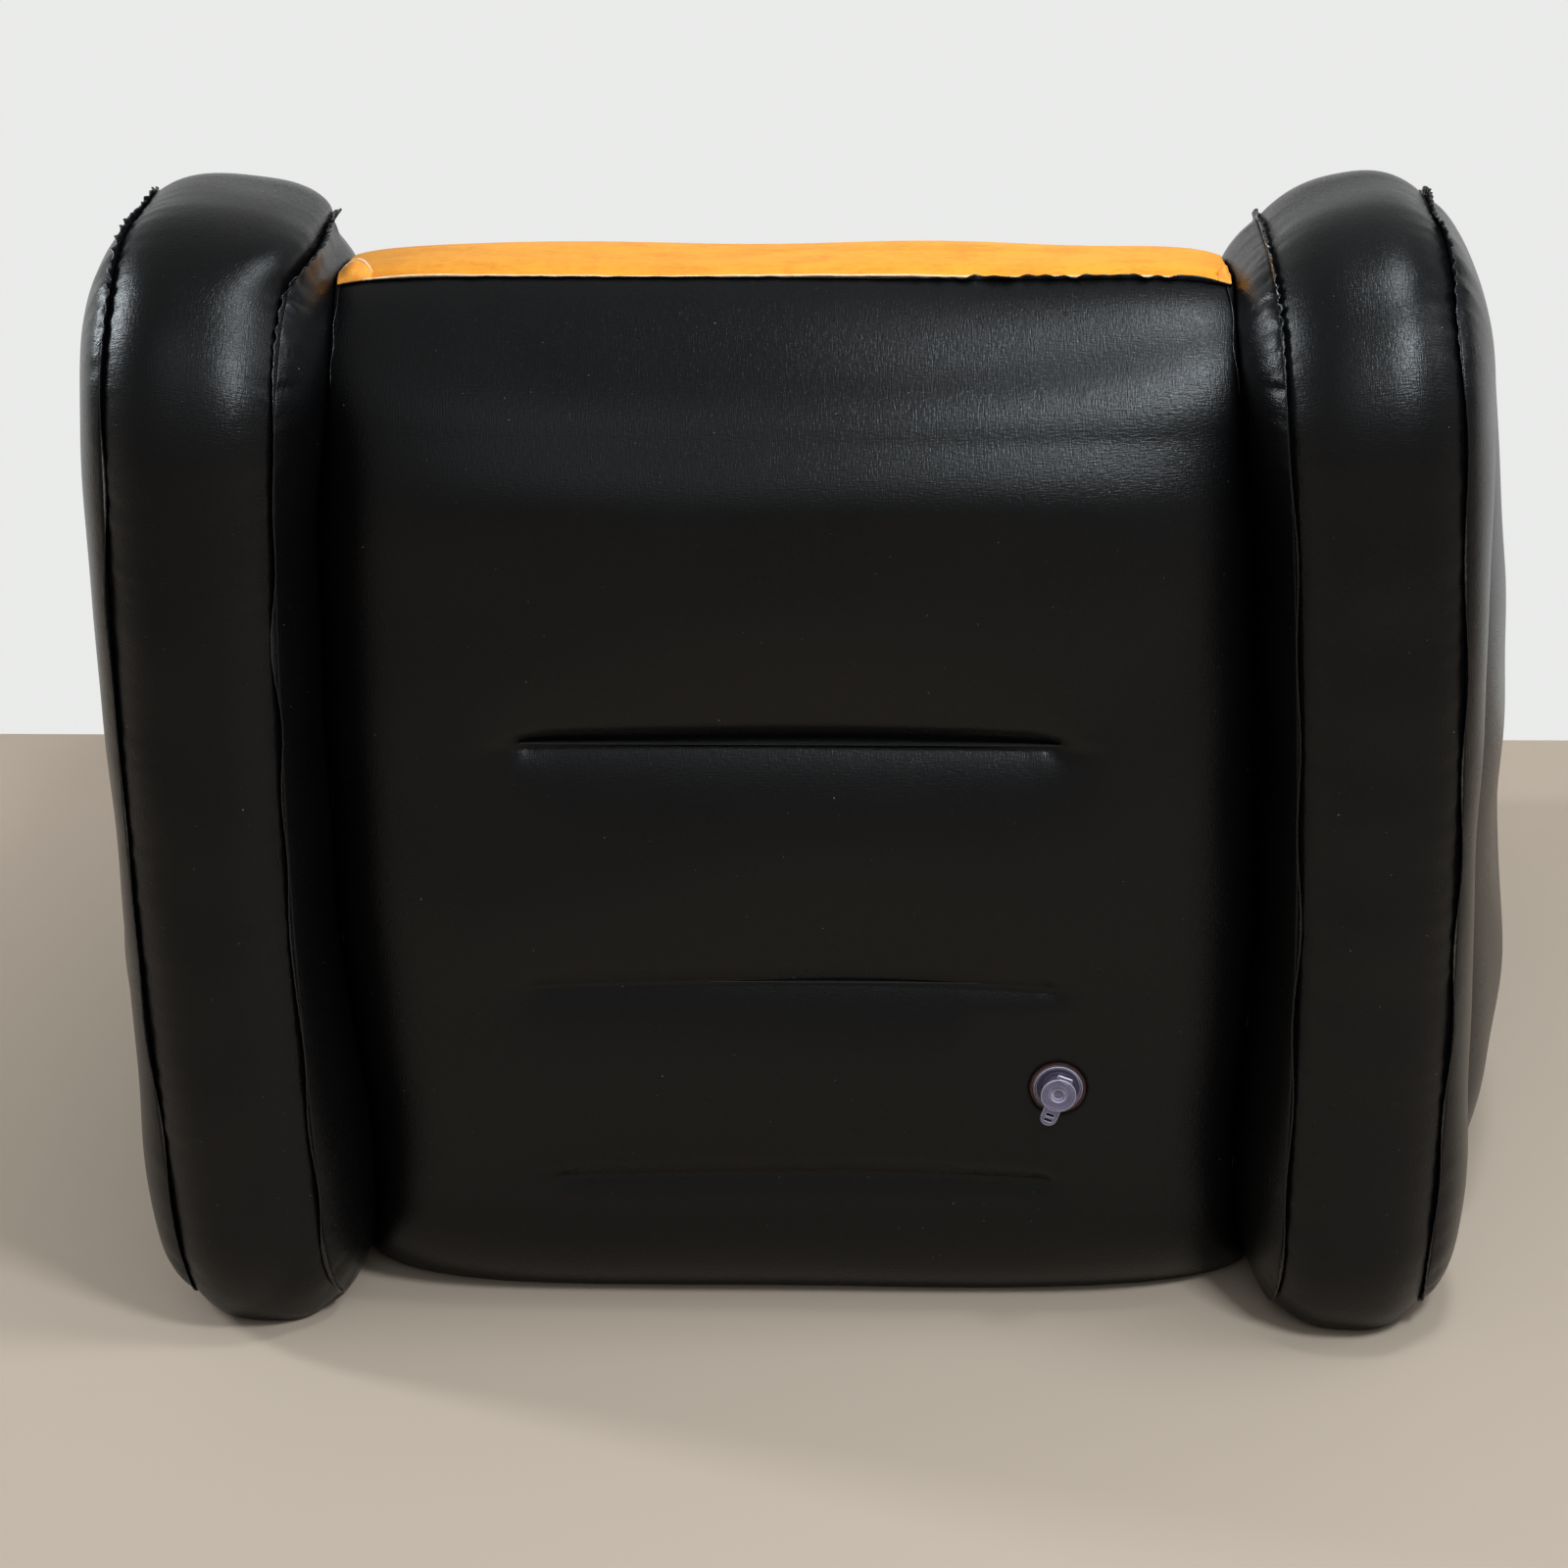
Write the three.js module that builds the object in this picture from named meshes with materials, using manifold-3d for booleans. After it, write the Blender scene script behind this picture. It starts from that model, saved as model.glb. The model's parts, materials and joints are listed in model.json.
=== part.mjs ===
// Inflatable armchair with wings: two tall side chambers, a backrest chamber and a seat chamber
// between them, all of welded film, and a soft clear air valve low on the back.
// Millimetres, +Z up. The seat faces -Y, and the origin is on the floor under the middle.
import * as THREE from "three";
import { mergeVertices } from "three/addons/utils/BufferGeometryUtils.js";
import Module from "manifold-3d";

const wasm = await Module();
wasm.setup();

// Film and welds
const filmThickness = 0.4;
const flockedThickness = 0.8;
const clearance = 0.3;
const seamHeight = 7;
const seamThickness = 0.9;
const SEAM_FIRST_STATION = 2;
const SEAM_RISE_STATIONS = 3;
const topSeamHeight = 4;
const trimOverrun = 8;
const LATTICE = 2000;

// Side outline of a side chamber, along its weld seams
const chamberLength = 996;
const wingHeight = 748;
const armHeight = 478;
const wingRake = 22;
const wingDepth = 250;
const sweepRun = 165;
const rearBottomRadius = 80;
const wingRearRadius = 125;
const wingFrontRadius = 100;
const sweepRadius = 260;
const armFrontRadius = 190;
const frontBottomRadius = 95;

// Gusset strip of a side chamber
const gussetFootWidth = 102;
const gussetTopWidth = 114;
const gussetMiddle = 381;
const gussetBow = 14;
const gussetCrown = 30;
const crownFadeHeight = 35;

// Swell of the side panels beyond their seams, and the weld valley of the outer one. The fullness shares
// say how much more they swell near the floor and, in the inner one, near the crest.
const outerSwell = 76;
const innerSwell = 38;
const valleySwell = 16;
const OUTER_FOOT_FULLNESS_SHARE = 0.75;
const INNER_FOOT_FULLNESS_SHARE = 1.3;
const INNER_CREST_FULLNESS_SHARE = 1.6;
const footFadeHeight = 300;
const crestFadeHeight = 180;
const VALLEY_COLUMN = 3;
const VALLEY_FIRST_ROW = 2;
const VALLEY_LAST_ROW = 8;

// Section of the backrest and seat where they meet the side chambers
const bodyRearInset = 76;
const backrestRake = 17;
const bodyTopDrop = 30;
const backrestTopDepth = 162;
const backrestFootDepth = 302;
const seatHeight = 395;
const seatFrontInset = 46;
const bodyRearBottomRadius = 90;
const backrestTopRadius = 80;
const creaseRadius = 25;
const seatFrontRadius = 85;
const bodyFrontBottomRadius = 70;
const TOP_SEAM_SHARE = 0.8;

// Swell of the middle of each panel beyond that section
const backSwell = 66;
const backrestSwell = 42;
const seatSwell = 38;
const topSeamSwell = 16;
const topFadeHeight = 120;
const creaseSwell = 5;

// Weld grooves, with a tie strip behind each. Those of the back panel have shares of the body's
// height, and those of the seat have shares of the way from crease to front.
const backGrooveShares = [
  { name: "upper", heightShare: 0.6, swellShare: 0.7 },
  { name: "middle", heightShare: 0.357, swellShare: 0.67 },
  { name: "lower", heightShare: 0.148, swellShare: 0.52 },
];
const seatGrooveShares = [
  { name: "rear", wayShare: 0.26 },
  { name: "middle", wayShare: 0.525 },
  { name: "front", wayShare: 0.785 },
];
const SEAT_GROOVE_SWELL_SHARE = 0.53;
const GROOVE_HALF_SHARE = 0.58;
const backRowSpacing = 44;
const seatRowSpacing = 60;
const dividerLeanRun = 30;
const backTieDrop = 9;

// Air valve: its axis points out of the back, along +Y
const valveX = -180;
const valveHeight = 180;
const flatHalfWidth = 36;
const flatBlendWidth = 40;
const valveHoleRadius = 20.3;
const flangeRadius = 29;
const flangeThickness = 0.8;
const ringOuterRadius = 16.8;
const ringInnerRadius = 15;
const ringHeight = 1.5;
const bellowsTopRadius = 10.8;
const bellowsHeight = 6.4;
const bellowsWall = 0.6;
const BELLOWS_STEPS = 3;
const LEAN_SHARE = 0.25;
const RISER_SHARE = 0.8;
const stemRadius = 10.4;
const stemTop = 10;
const stemBottom = -3.4;
const boreRadius = 6.4;
const throatRadius = 4.6;
const throatLength = 1.2;
const stopperRadius = 12.2;
const stopperThickness = 2.2;
const plugTopRadius = 6;
const plugEndRadius = 5.2;
const plugLength = 4;
const dimpleRadius = 4.6;
const dimpleFloor = 1;
const hingeReach = 13.8;
const strapWidth = 10.6;
const strapThickness = 1.2;
const lugThickness = 1;
const tabWidth = 11.6;
const tabReach = 24.5;
const tabThickness = 1.2;
const tabSlotLength = 5.6;
const tabSlotWidth = 1.8;
const tabSlotPitch = 3.6;
const flapRadius = 7;
const flapThickness = 0.8;
const flapHingeReach = 8.6;
const flapHingeWidth = 5;
const STRAP_DIRECTION_DEG = 70;
const VALVE_SEGMENTS = 28;

const v2 = (y, z) => new THREE.Vector2(y, z);
const v3 = (x, y, z) => new THREE.Vector3(x, y, z);
const smooth = (share) => THREE.MathUtils.smoothstep(share, 0, 1);

// Materials
const blackFilm = new THREE.MeshStandardMaterial({ color: 0x17181a, roughness: 0.42, metalness: 0 });
const orangeFlock = new THREE.MeshStandardMaterial({ color: 0xfb8f22, roughness: 0.95, metalness: 0 });
const weldedEdge = new THREE.MeshStandardMaterial({ color: 0x0c0c0e, roughness: 0.5, metalness: 0 });
const innerFilm = new THREE.MeshStandardMaterial({ color: 0x2a2b2e, roughness: 0.6, metalness: 0 });
const clearSoftPlastic = new THREE.MeshStandardMaterial({
  color: 0xb9b6cc,
  roughness: 0.2,
  metalness: 0,
  transparent: true,
  opacity: 0.55,
});

// Solids between two grids of points, booleans, and sheets of film

const triangleSoup = (triangles) => new THREE.BufferGeometry().setFromPoints(triangles.flat());

function signedVolume(triangles) {
  return triangles.reduce((sum, [a, b, c]) => sum + a.dot(b.clone().cross(c)) / 6, 0);
}

// A closed solid whose two faces are grids of points of the same shape.
function solidBetween(face, back) {
  const rows = face.length - 1;
  const columns = face[0].length - 1;
  const triangles = [];
  const quad = (a, b, c, d) => triangles.push([a, b, c], [a, c, d]);
  for (let i = 0; i < rows; i++) {
    for (let j = 0; j < columns; j++) {
      quad(face[i][j], face[i + 1][j], face[i + 1][j + 1], face[i][j + 1]);
      quad(back[i][j], back[i][j + 1], back[i + 1][j + 1], back[i + 1][j]);
    }
  }
  for (let i = 0; i < rows; i++) {
    quad(face[i][0], back[i][0], back[i + 1][0], face[i + 1][0]);
    quad(face[i][columns], face[i + 1][columns], back[i + 1][columns], back[i][columns]);
  }
  for (let j = 0; j < columns; j++) {
    quad(face[0][j], face[0][j + 1], back[0][j + 1], back[0][j]);
    quad(face[rows][j], back[rows][j], back[rows][j + 1], face[rows][j + 1]);
  }
  if (signedVolume(triangles) < 0) triangles.forEach((t) => t.reverse());
  return triangleSoup(triangles);
}

function gridNormals(grid) {
  const rows = grid.length - 1;
  const columns = grid[0].length - 1;
  return grid.map((row, i) =>
    row.map((point, j) => {
      const alongRows = grid[Math.min(i + 1, rows)][j].clone().sub(grid[Math.max(i - 1, 0)][j]);
      const alongColumns = row[Math.min(j + 1, columns)].clone().sub(row[Math.max(j - 1, 0)]);
      return alongRows.cross(alongColumns).normalize();
    }),
  );
}

// The grid moved along its normals, on the side that hint points to where distance is positive.
function offsetGrid(grid, distance, hint) {
  const normals = gridNormals(grid);
  const middle = normals[Math.floor(grid.length / 2)][Math.floor(grid[0].length / 2)];
  const side = Math.sign(middle.dot(hint));
  return grid.map((row, i) =>
    row.map((point, j) => point.clone().addScaledVector(normals[i][j], side * distance)),
  );
}

// A sheet whose outer face is the grid, with its thickness inside.
function sheet(grid, thickness, outward) {
  return solidBetween(grid, offsetGrid(grid, -thickness, outward));
}

// A geometry as a solid. Points are first snapped to a fine lattice, so that those that should be
// shared are exactly alike, and triangles with no area are left out.
function toSolid(geometry) {
  const soup = geometry.index ? geometry.toNonIndexed() : geometry;
  const snapped = soup.getAttribute("position").array.map((v) => Math.round(v * LATTICE) / LATTICE);
  const bare = new THREE.BufferGeometry().setAttribute("position", new THREE.BufferAttribute(snapped, 3));
  const merged = mergeVertices(bare);
  const corners = merged.index.array;
  const triVerts = [];
  for (let k = 0; k < corners.length; k += 3) {
    const [a, b, c] = corners.slice(k, k + 3);
    if (a !== b && b !== c && c !== a) triVerts.push(a, b, c);
  }
  const mesh = new wasm.Mesh({
    numProp: 3,
    vertProperties: new Float32Array(merged.attributes.position.array),
    triVerts: new Uint32Array(triVerts),
  });
  return new wasm.Manifold(mesh);
}

function toGeometry(solid) {
  const mesh = solid.getMesh();
  const positions = new Float32Array(mesh.numVert * mesh.numProp);
  positions.set(mesh.vertProperties);
  return new THREE.BufferGeometry()
    .setAttribute("position", new THREE.BufferAttribute(positions, mesh.numProp))
    .setIndex(new THREE.BufferAttribute(new Uint32Array(mesh.triVerts), 1));
}

function cut(geometry, ...tools) {
  return toGeometry(tools.reduce((solid, tool) => solid.subtract(toSolid(tool)), toSolid(geometry)));
}

function join(...geometries) {
  const [first, ...others] = geometries.map(toSolid);
  return toGeometry(others.reduce((solid, other) => solid.add(other), first));
}

// Outlines in the YZ plane: corners in order, counterclockwise seen from +X, each rounded by its radius.
// A station is a point of the outline with its outward normal.

function fillet(previous, corner, next) {
  const along = corner.at.clone().sub(previous.at).normalize();
  const onward = next.at.clone().sub(corner.at).normalize();
  const turn = Math.atan2(along.cross(onward), along.dot(onward));
  const start = corner.at.clone().addScaledVector(along, -corner.radius * Math.tan(Math.abs(turn) / 2));
  const towardCentre = v2(-along.y, along.x).multiplyScalar(Math.sign(turn));
  const centre = start.clone().addScaledVector(towardCentre, corner.radius);
  return (share) => ({
    point: start.clone().rotateAround(centre, turn * share),
    out: v2(along.y, -along.x).rotateAround(v2(0, 0), turn * share),
  });
}

// A corner of an outline: its place, its radius, the steps of its bend, and those of the line after
// it, as a number of equal steps or as a function that gives their shares of the line.
const bend = (y, z, radius, steps, line) => ({ at: v2(y, z), radius, steps, line });

// Equal steps between 0 and 1, both left out.
const stepsBetween = (count) => Array.from({ length: count - 1 }, (_, k) => (k + 1) / count);

// All stations of the closed outline. Each corner learns the index of its first and last station.
function outline(corners) {
  const stations = [];
  const bends = corners.map((corner, i) =>
    fillet(corners[(i + corners.length - 1) % corners.length], corner, corners[(i + 1) % corners.length]),
  );
  corners.forEach((corner, i) => {
    corner.first = stations.length;
    [0, ...stepsBetween(corner.steps), 1].forEach((share) => stations.push(bends[i](share)));
    corner.last = stations.length - 1;
    const from = bends[i](1);
    const to = bends[(i + 1) % corners.length](0);
    const byPlace = typeof corner.line === "function";
    const stops = byPlace ? corner.line(from.point, to.point) : stepsBetween(corner.line);
    stops.forEach((share) =>
      stations.push({ point: from.point.clone().lerp(to.point, share), out: from.out.clone() }),
    );
  });
  return stations;
}

// How far an inflated sheet swells out of its flat grid, at each point of the grid. The square of the
// swell solves the equation of an evenly loaded membrane, which stands steep at its edges and rounds
// off in the middle. Held points have a stated swell, and the load is set so that the highest point
// reaches the peak.
const SWEEPS = 700;

function membrane(grid, held, load) {
  const rows = grid.length - 1;
  const columns = grid[0].length - 1;
  const value = grid.map((row, i) => row.map((_, j) => held(i, j) ?? 0));
  const weights = grid.map((row, i) =>
    row.map((point, j) => {
      if (held(i, j) !== undefined) return null;
      const gaps = [grid[i - 1][j], grid[i + 1][j], row[j - 1], row[j + 1]].map((p) => p.distanceTo(point));
      const across = gaps[0] + gaps[1];
      const along = gaps[2] + gaps[3];
      return [2 / (across * gaps[0]), 2 / (across * gaps[1]), 2 / (along * gaps[2]), 2 / (along * gaps[3])];
    }),
  );
  for (let sweep = 0; sweep < SWEEPS; sweep++) {
    for (let i = 1; i < rows; i++) {
      for (let j = 1; j < columns; j++) {
        const w = weights[i][j];
        if (!w) continue;
        const pull =
          w[0] * value[i - 1][j] + w[1] * value[i + 1][j] + w[2] * value[i][j - 1] + w[3] * value[i][j + 1];
        value[i][j] = (pull + load) / (w[0] + w[1] + w[2] + w[3]);
      }
    }
  }
  return value;
}

function swellOf(grid, heldSwell, peak) {
  const square = (i, j) => (heldSwell(i, j) === undefined ? undefined : heldSwell(i, j) ** 2);
  const zero = (i, j) => (heldSwell(i, j) === undefined ? undefined : 0);
  const hung = membrane(grid, square, 0);
  const loaded = membrane(grid, zero, 1);
  let load = Infinity;
  grid.forEach((row, i) =>
    row.forEach((_, j) => {
      if (loaded[i][j] > 0) load = Math.min(load, (peak ** 2 - hung[i][j]) / loaded[i][j]);
    }),
  );
  return grid.map((row, i) => row.map((_, j) => Math.sqrt(Math.max(0, hung[i][j] + load * loaded[i][j]))));
}

// Side chamber, built on the +X side

// The rear and front stretches of the outline have as many steps as each other, and so do the top
// and the base, because each pair bounds one layout of the side panels.
const REAR_LINE_STEPS = 7;
const TOP_LINE_STEPS = [1, 2, 3];
const BEND_STEPS = 4;
const ARM_BEND_STEPS = 6;
const frontLineSteps = REAR_LINE_STEPS + (BEND_STEPS - ARM_BEND_STEPS) / 2;
const baseLineSteps =
  TOP_LINE_STEPS.reduce((sum, steps) => sum + steps, 0) + 2 * BEND_STEPS + (ARM_BEND_STEPS - BEND_STEPS) / 2;
const wingRearY = chamberLength / 2 - wingRake;
const wingFrontY = wingRearY - wingDepth;
const chamberCorners = [
  bend(chamberLength / 2, 0, rearBottomRadius, BEND_STEPS, REAR_LINE_STEPS),
  bend(wingRearY, wingHeight, wingRearRadius, BEND_STEPS, TOP_LINE_STEPS[0]),
  bend(wingFrontY, wingHeight, wingFrontRadius, BEND_STEPS, TOP_LINE_STEPS[1]),
  bend(wingFrontY - sweepRun, armHeight, sweepRadius, BEND_STEPS, TOP_LINE_STEPS[2]),
  bend(-chamberLength / 2, armHeight, armFrontRadius, ARM_BEND_STEPS, frontLineSteps),
  bend(-chamberLength / 2, 0, frontBottomRadius, BEND_STEPS, baseLineSteps),
];
const [rearBottom, wingRear, , , armFront, frontBottom] = chamberCorners;
const chamberOutline = outline(chamberCorners);

const gussetCentreX = (z) => gussetMiddle + gussetBow * 4 * (z / wingHeight) * (1 - z / wingHeight);
const gussetWidth = (z) => THREE.MathUtils.lerp(gussetFootWidth, gussetTopWidth, z / wingHeight);
const outerSeamX = (z) => gussetCentreX(z) + gussetWidth(z) / 2;
const innerSeamX = (z) => gussetCentreX(z) - gussetWidth(z) / 2;
const edgeFromSeam = seamThickness / 2 + clearance;

// Points of the side outline, laid out between its four stretches.
function sideLayout() {
  const count = chamberOutline.length;
  const stretch = (from, to) => {
    const points = [];
    const step = to > from ? 1 : -1;
    for (let k = from; k !== to + step; k += step) points.push(chamberOutline[(k + count) % count].point);
    return points;
  };
  const middle = (corner) => (corner.first + corner.last) / 2;
  const rear = stretch(middle(rearBottom), middle(wingRear));
  const top = stretch(middle(wingRear), middle(armFront));
  const front = stretch(middle(frontBottom), middle(armFront));
  const base = stretch(middle(rearBottom), middle(frontBottom) - count);
  const nu = top.length - 1;
  const nv = rear.length - 1;
  return top.map((_, i) =>
    rear.map((__, j) => {
      const u = i / nu;
      const v = j / nv;
      const corner = v2(0, 0)
        .addScaledVector(base[0], (1 - u) * (1 - v))
        .addScaledVector(base[nu], u * (1 - v))
        .addScaledVector(top[0], (1 - u) * v)
        .addScaledVector(top[nu], u * v);
      return v2(0, 0)
        .addScaledVector(base[i], 1 - v)
        .addScaledVector(top[i], v)
        .addScaledVector(rear[j], 1 - u)
        .addScaledVector(front[j], u)
        .sub(corner);
    }),
  );
}

const layout = sideLayout();
const isEdge = (grid, i, j) => i === 0 || j === 0 || i === grid.length - 1 || j === grid[0].length - 1;

const footFullness = (z) => 1 - smooth(z / footFadeHeight);
const crestFullness = (z) => smooth((z - wingHeight + crestFadeHeight) / crestFadeHeight);

function outerPanelGrid() {
  const flat = layout.map((row) =>
    row.map((p) => v3(outerSeamX(p.y) + edgeFromSeam + filmThickness, p.x, p.y)),
  );
  const inValley = (i, j) => i === VALLEY_COLUMN && j >= VALLEY_FIRST_ROW && j <= VALLEY_LAST_ROW;
  const held = (i, j) => (isEdge(flat, i, j) ? 0 : inValley(i, j) ? valleySwell : undefined);
  const swell = swellOf(flat, held, outerSwell);
  const fullness = (z) => 1 + OUTER_FOOT_FULLNESS_SHARE * footFullness(z);
  return flat.map((row, i) => row.map((p, j) => p.clone().add(v3(swell[i][j] * fullness(p.z), 0, 0))));
}

function innerPanelGrid() {
  const flat = layout.map((row) =>
    row.map((p) => v3(innerSeamX(p.y) - edgeFromSeam - filmThickness, p.x, p.y)),
  );
  const held = (i, j) => (isEdge(flat, i, j) ? 0 : undefined);
  const swell = swellOf(flat, held, innerSwell);
  const fullness = (z) =>
    1 + INNER_FOOT_FULLNESS_SHARE * footFullness(z) + INNER_CREST_FULLNESS_SHARE * crestFullness(z);
  return flat.map((row, i) => row.map((p, j) => p.clone().sub(v3(swell[i][j] * fullness(p.z), 0, 0))));
}

const outerGrid = outerPanelGrid();
const innerGrid = innerPanelGrid();
const towardSeat = v3(-1, 0, 0);
const awayFromSeat = v3(1, 0, 0);

// The stations that the gusset strip follows, from the floor at the rear to the floor at the front.
const gussetStations = chamberOutline.slice(rearBottom.first, frontBottom.last + 1);

const GUSSET_SHARES = [-1, -0.72, -0.38, 0, 0.38, 0.72, 1];

function gussetGeometry() {
  const grid = gussetStations.map(({ point, out }) =>
    GUSSET_SHARES.map((share) => {
      const halfWidth = gussetWidth(point.y) / 2 - edgeFromSeam;
      const rise = gussetCrown * (1 - share ** 2) * smooth(point.y / crownFadeHeight);
      const place = point.clone().addScaledVector(out, rise);
      return v3(gussetCentreX(point.y) + share * halfWidth, place.x, place.y);
    }),
  );
  return sheet(grid, filmThickness, v3(0, 0, 1));
}

function baseStripGeometry() {
  const rearY = gussetStations[0].point.x - clearance;
  const frontY = gussetStations[gussetStations.length - 1].point.x + clearance;
  const halfWidth = gussetFootWidth / 2 + seamThickness / 2;
  const grid = [rearY, frontY].map((y) => [-1, 1].map((side) => v3(gussetMiddle + side * halfWidth, y, 0)));
  return sheet(grid, filmThickness, v3(0, 0, -1));
}

// The weld flange that stands out between the gusset strip and a side panel. It starts and ends in
// the middle of the floor bends.
function seamGeometry(seamX) {
  const stations = gussetStations.slice(SEAM_FIRST_STATION, gussetStations.length - SEAM_FIRST_STATION);
  const face = (side) =>
    stations.map(({ point, out }, k) => {
      const fromEnd = Math.min(k, stations.length - 1 - k);
      const height = seamHeight * Math.min(1, (fromEnd + 1) / SEAM_RISE_STATIONS);
      return [-filmThickness, height].map((rise) => {
        const place = point.clone().addScaledVector(out, rise);
        return v3(seamX(point.y) + (side * seamThickness) / 2, place.x, place.y);
      });
    });
  return solidBetween(face(1), face(-1));
}

// Everything on one side of the inner side panel, moved off the panel by a clearance, as a cutting solid.
function beyondInnerPanel(distance, farX, mirror) {
  const moved = offsetGrid(innerGrid, distance, towardSeat).map((row) =>
    row.map((p, j) => v3(p.x * mirror, p.y, j === 0 ? p.z - trimOverrun : p.z)),
  );
  const far = moved.map((row) => row.map((p) => v3(farX * mirror, p.y, p.z)));
  return solidBetween(moved, far);
}

// The weld valley of the outer panel is held by a tie strip across the chamber.
function wingTieGeometry() {
  const rows = [];
  for (let j = VALLEY_FIRST_ROW; j <= VALLEY_LAST_ROW; j++) {
    const valley = outerGrid[VALLEY_COLUMN][j];
    const rootX = valley.x - filmThickness - clearance;
    const farX = innerReach(valley.y, valley.z) - trimOverrun;
    rows.push([rootX, farX].map((x) => v3(x, valley.y, valley.z)));
  }
  const strip = sheet(rows, filmThickness, v3(0, 1, 0));
  return cut(strip, beyondInnerPanel(-filmThickness - clearance, 0, 1));
}

// The x of the inner panel's seat side at a place of the side outline.
function innerReach(y, z) {
  const inside = (a, b, c) => {
    const area = (b.y - a.y) * (c.z - a.z) - (c.y - a.y) * (b.z - a.z);
    const wb = ((y - a.y) * (c.z - a.z) - (c.y - a.y) * (z - a.z)) / area;
    const wc = ((b.y - a.y) * (z - a.z) - (y - a.y) * (b.z - a.z)) / area;
    const least = Math.min(wb, wc, 1 - wb - wc);
    return { least, x: a.x + wb * (b.x - a.x) + wc * (c.x - a.x) };
  };
  let best = { least: -Infinity };
  for (let i = 0; i < innerGrid.length - 1; i++) {
    for (let j = 0; j < innerGrid[0].length - 1; j++) {
      const [a, b] = [innerGrid[i][j], innerGrid[i + 1][j]];
      const [c, d] = [innerGrid[i + 1][j + 1], innerGrid[i][j + 1]];
      for (const found of [inside(a, b, c), inside(a, c, d)]) {
        if (found.least > best.least) best = found;
      }
    }
  }
  return best.x;
}

// Backrest and seat

const heightStops = (heights) => (from, to) => heights.map((z) => (z - from.y) / (to.y - from.y));
const depthStops = (places) => (from, to) => places.map((y) => (y - from.x) / (to.x - from.x));

// Splits each interval between key places into equal steps no longer than the spacing.
function spaced(keys, spacing) {
  const places = [];
  for (let k = 0; k < keys.length - 1; k++) {
    const count = Math.ceil(Math.abs(keys[k + 1] - keys[k]) / spacing);
    if (k > 0) places.push(keys[k]);
    stepsBetween(count).forEach((share) => places.push(keys[k] + share * (keys[k + 1] - keys[k])));
  }
  return places;
}

const bodyTop = wingHeight - bodyTopDrop;
const bodyRearY = chamberLength / 2 - bodyRearInset;
const bodyTopRearY = bodyRearY - backrestRake;
const creaseY = bodyRearY - backrestFootDepth;
const seatFrontY = seatFrontInset - chamberLength / 2;
const backGrooves = backGrooveShares.map(({ name, heightShare, swellShare }) => ({
  name,
  height: heightShare * bodyTop,
  swell: swellShare * backSwell,
}));
const seatGrooves = seatGrooveShares.map(({ name, wayShare }) => ({
  name,
  y: THREE.MathUtils.lerp(creaseY, seatFrontY, wayShare),
  swell: SEAT_GROOVE_SWELL_SHARE * seatSwell,
}));
const grooveHeights = backGrooves.map((g) => g.height).reverse();
const backKeys = [
  bodyRearBottomRadius,
  grooveHeights[0],
  valveHeight - flatHalfWidth,
  valveHeight,
  valveHeight + flatHalfWidth,
  grooveHeights[1],
  grooveHeights[2],
  bodyTop - backrestTopRadius,
];
const seatKeys = [creaseY - creaseRadius, ...seatGrooves.map((g) => g.y), seatFrontY + seatFrontRadius];
const backRows = heightStops(spaced(backKeys, backRowSpacing));
const seatRows = depthStops(spaced(seatKeys, seatRowSpacing));
const bodyCorners = [
  bend(bodyRearY, 0, bodyRearBottomRadius, 3, backRows),
  bend(bodyTopRearY, bodyTop, backrestTopRadius, 5, 1),
  bend(bodyTopRearY - backrestTopDepth, bodyTop, backrestTopRadius, 4, 5),
  bend(creaseY, seatHeight, creaseRadius, 2, seatRows),
  bend(seatFrontY, seatHeight, seatFrontRadius, 4, 4),
  bend(seatFrontY, 0, bodyFrontBottomRadius, 3, 1),
];
const [bodyRearBottom, bodyTopRear, , crease, , bodyFrontBottom] = bodyCorners;
const bodyStations = outline(bodyCorners);
const topSeamStation = bodyTopRear.first + Math.round(TOP_SEAM_SHARE * bodyTopRear.steps);
const creaseStation = crease.first + crease.steps / 2;

const VALVE_EDGE_SHARES = [0.46, 0.72];
const COLUMN_SHARES = [0.22, VALVE_EDGE_SHARES[0], GROOVE_HALF_SHARE, VALVE_EDGE_SHARES[1], 0.87, 1];
const ACROSS = [...COLUMN_SHARES.map((share) => -share).reverse(), 0, ...COLUMN_SHARES];
const inGroove = (share) => Math.abs(share) <= GROOVE_HALF_SHARE;
const grooveColumns = [...ACROSS.keys()].filter((j) => inGroove(ACROSS[j]));

// The swell across an edge that two panels share: none at the side chambers, full in the middle.
const acrossSwell = (j, swell) => swell * Math.sqrt(1 - ACROSS[j] ** 4);

// The section swept from one side chamber to the other, before it is inflated.
function flatBody(stations) {
  return stations.map(({ point }) => {
    const halfWidth = innerReach(point.x, point.y) + trimOverrun;
    return ACROSS.map((share) => v3(share * halfWidth, point.x, point.y));
  });
}

// The crest of the backrest is a stiff round beam, so the swell fades to that of the top seam there.
// Where the floor is in the way of the swell, the panel lies flat on it.
function inflate(stations, flat, heldSwell, peak) {
  const swell = swellOf(flat, heldSwell, peak);
  const seamZ = bodyStations[topSeamStation].point.y;
  return flat.map((row, i) =>
    row.map((p, j) => {
      const { out } = stations[i];
      const free = smooth((seamZ - p.z) / topFadeHeight);
      const rise = THREE.MathUtils.lerp(acrossSwell(j, topSeamSwell), swell[i][j], free);
      return v3(p.x, p.y + out.x * rise, Math.max(0, p.z + out.y * rise));
    }),
  );
}

// Moves the points of one row towards another row, which leaves room for a seam.
function pullBack(grid, row, toward, distance) {
  return grid.map((points, i) =>
    i !== row
      ? points
      : points.map((p, j) => {
          const direction = grid[toward][j].clone().sub(p).normalize();
          return p.clone().addScaledVector(direction, distance);
        }),
  );
}

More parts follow.
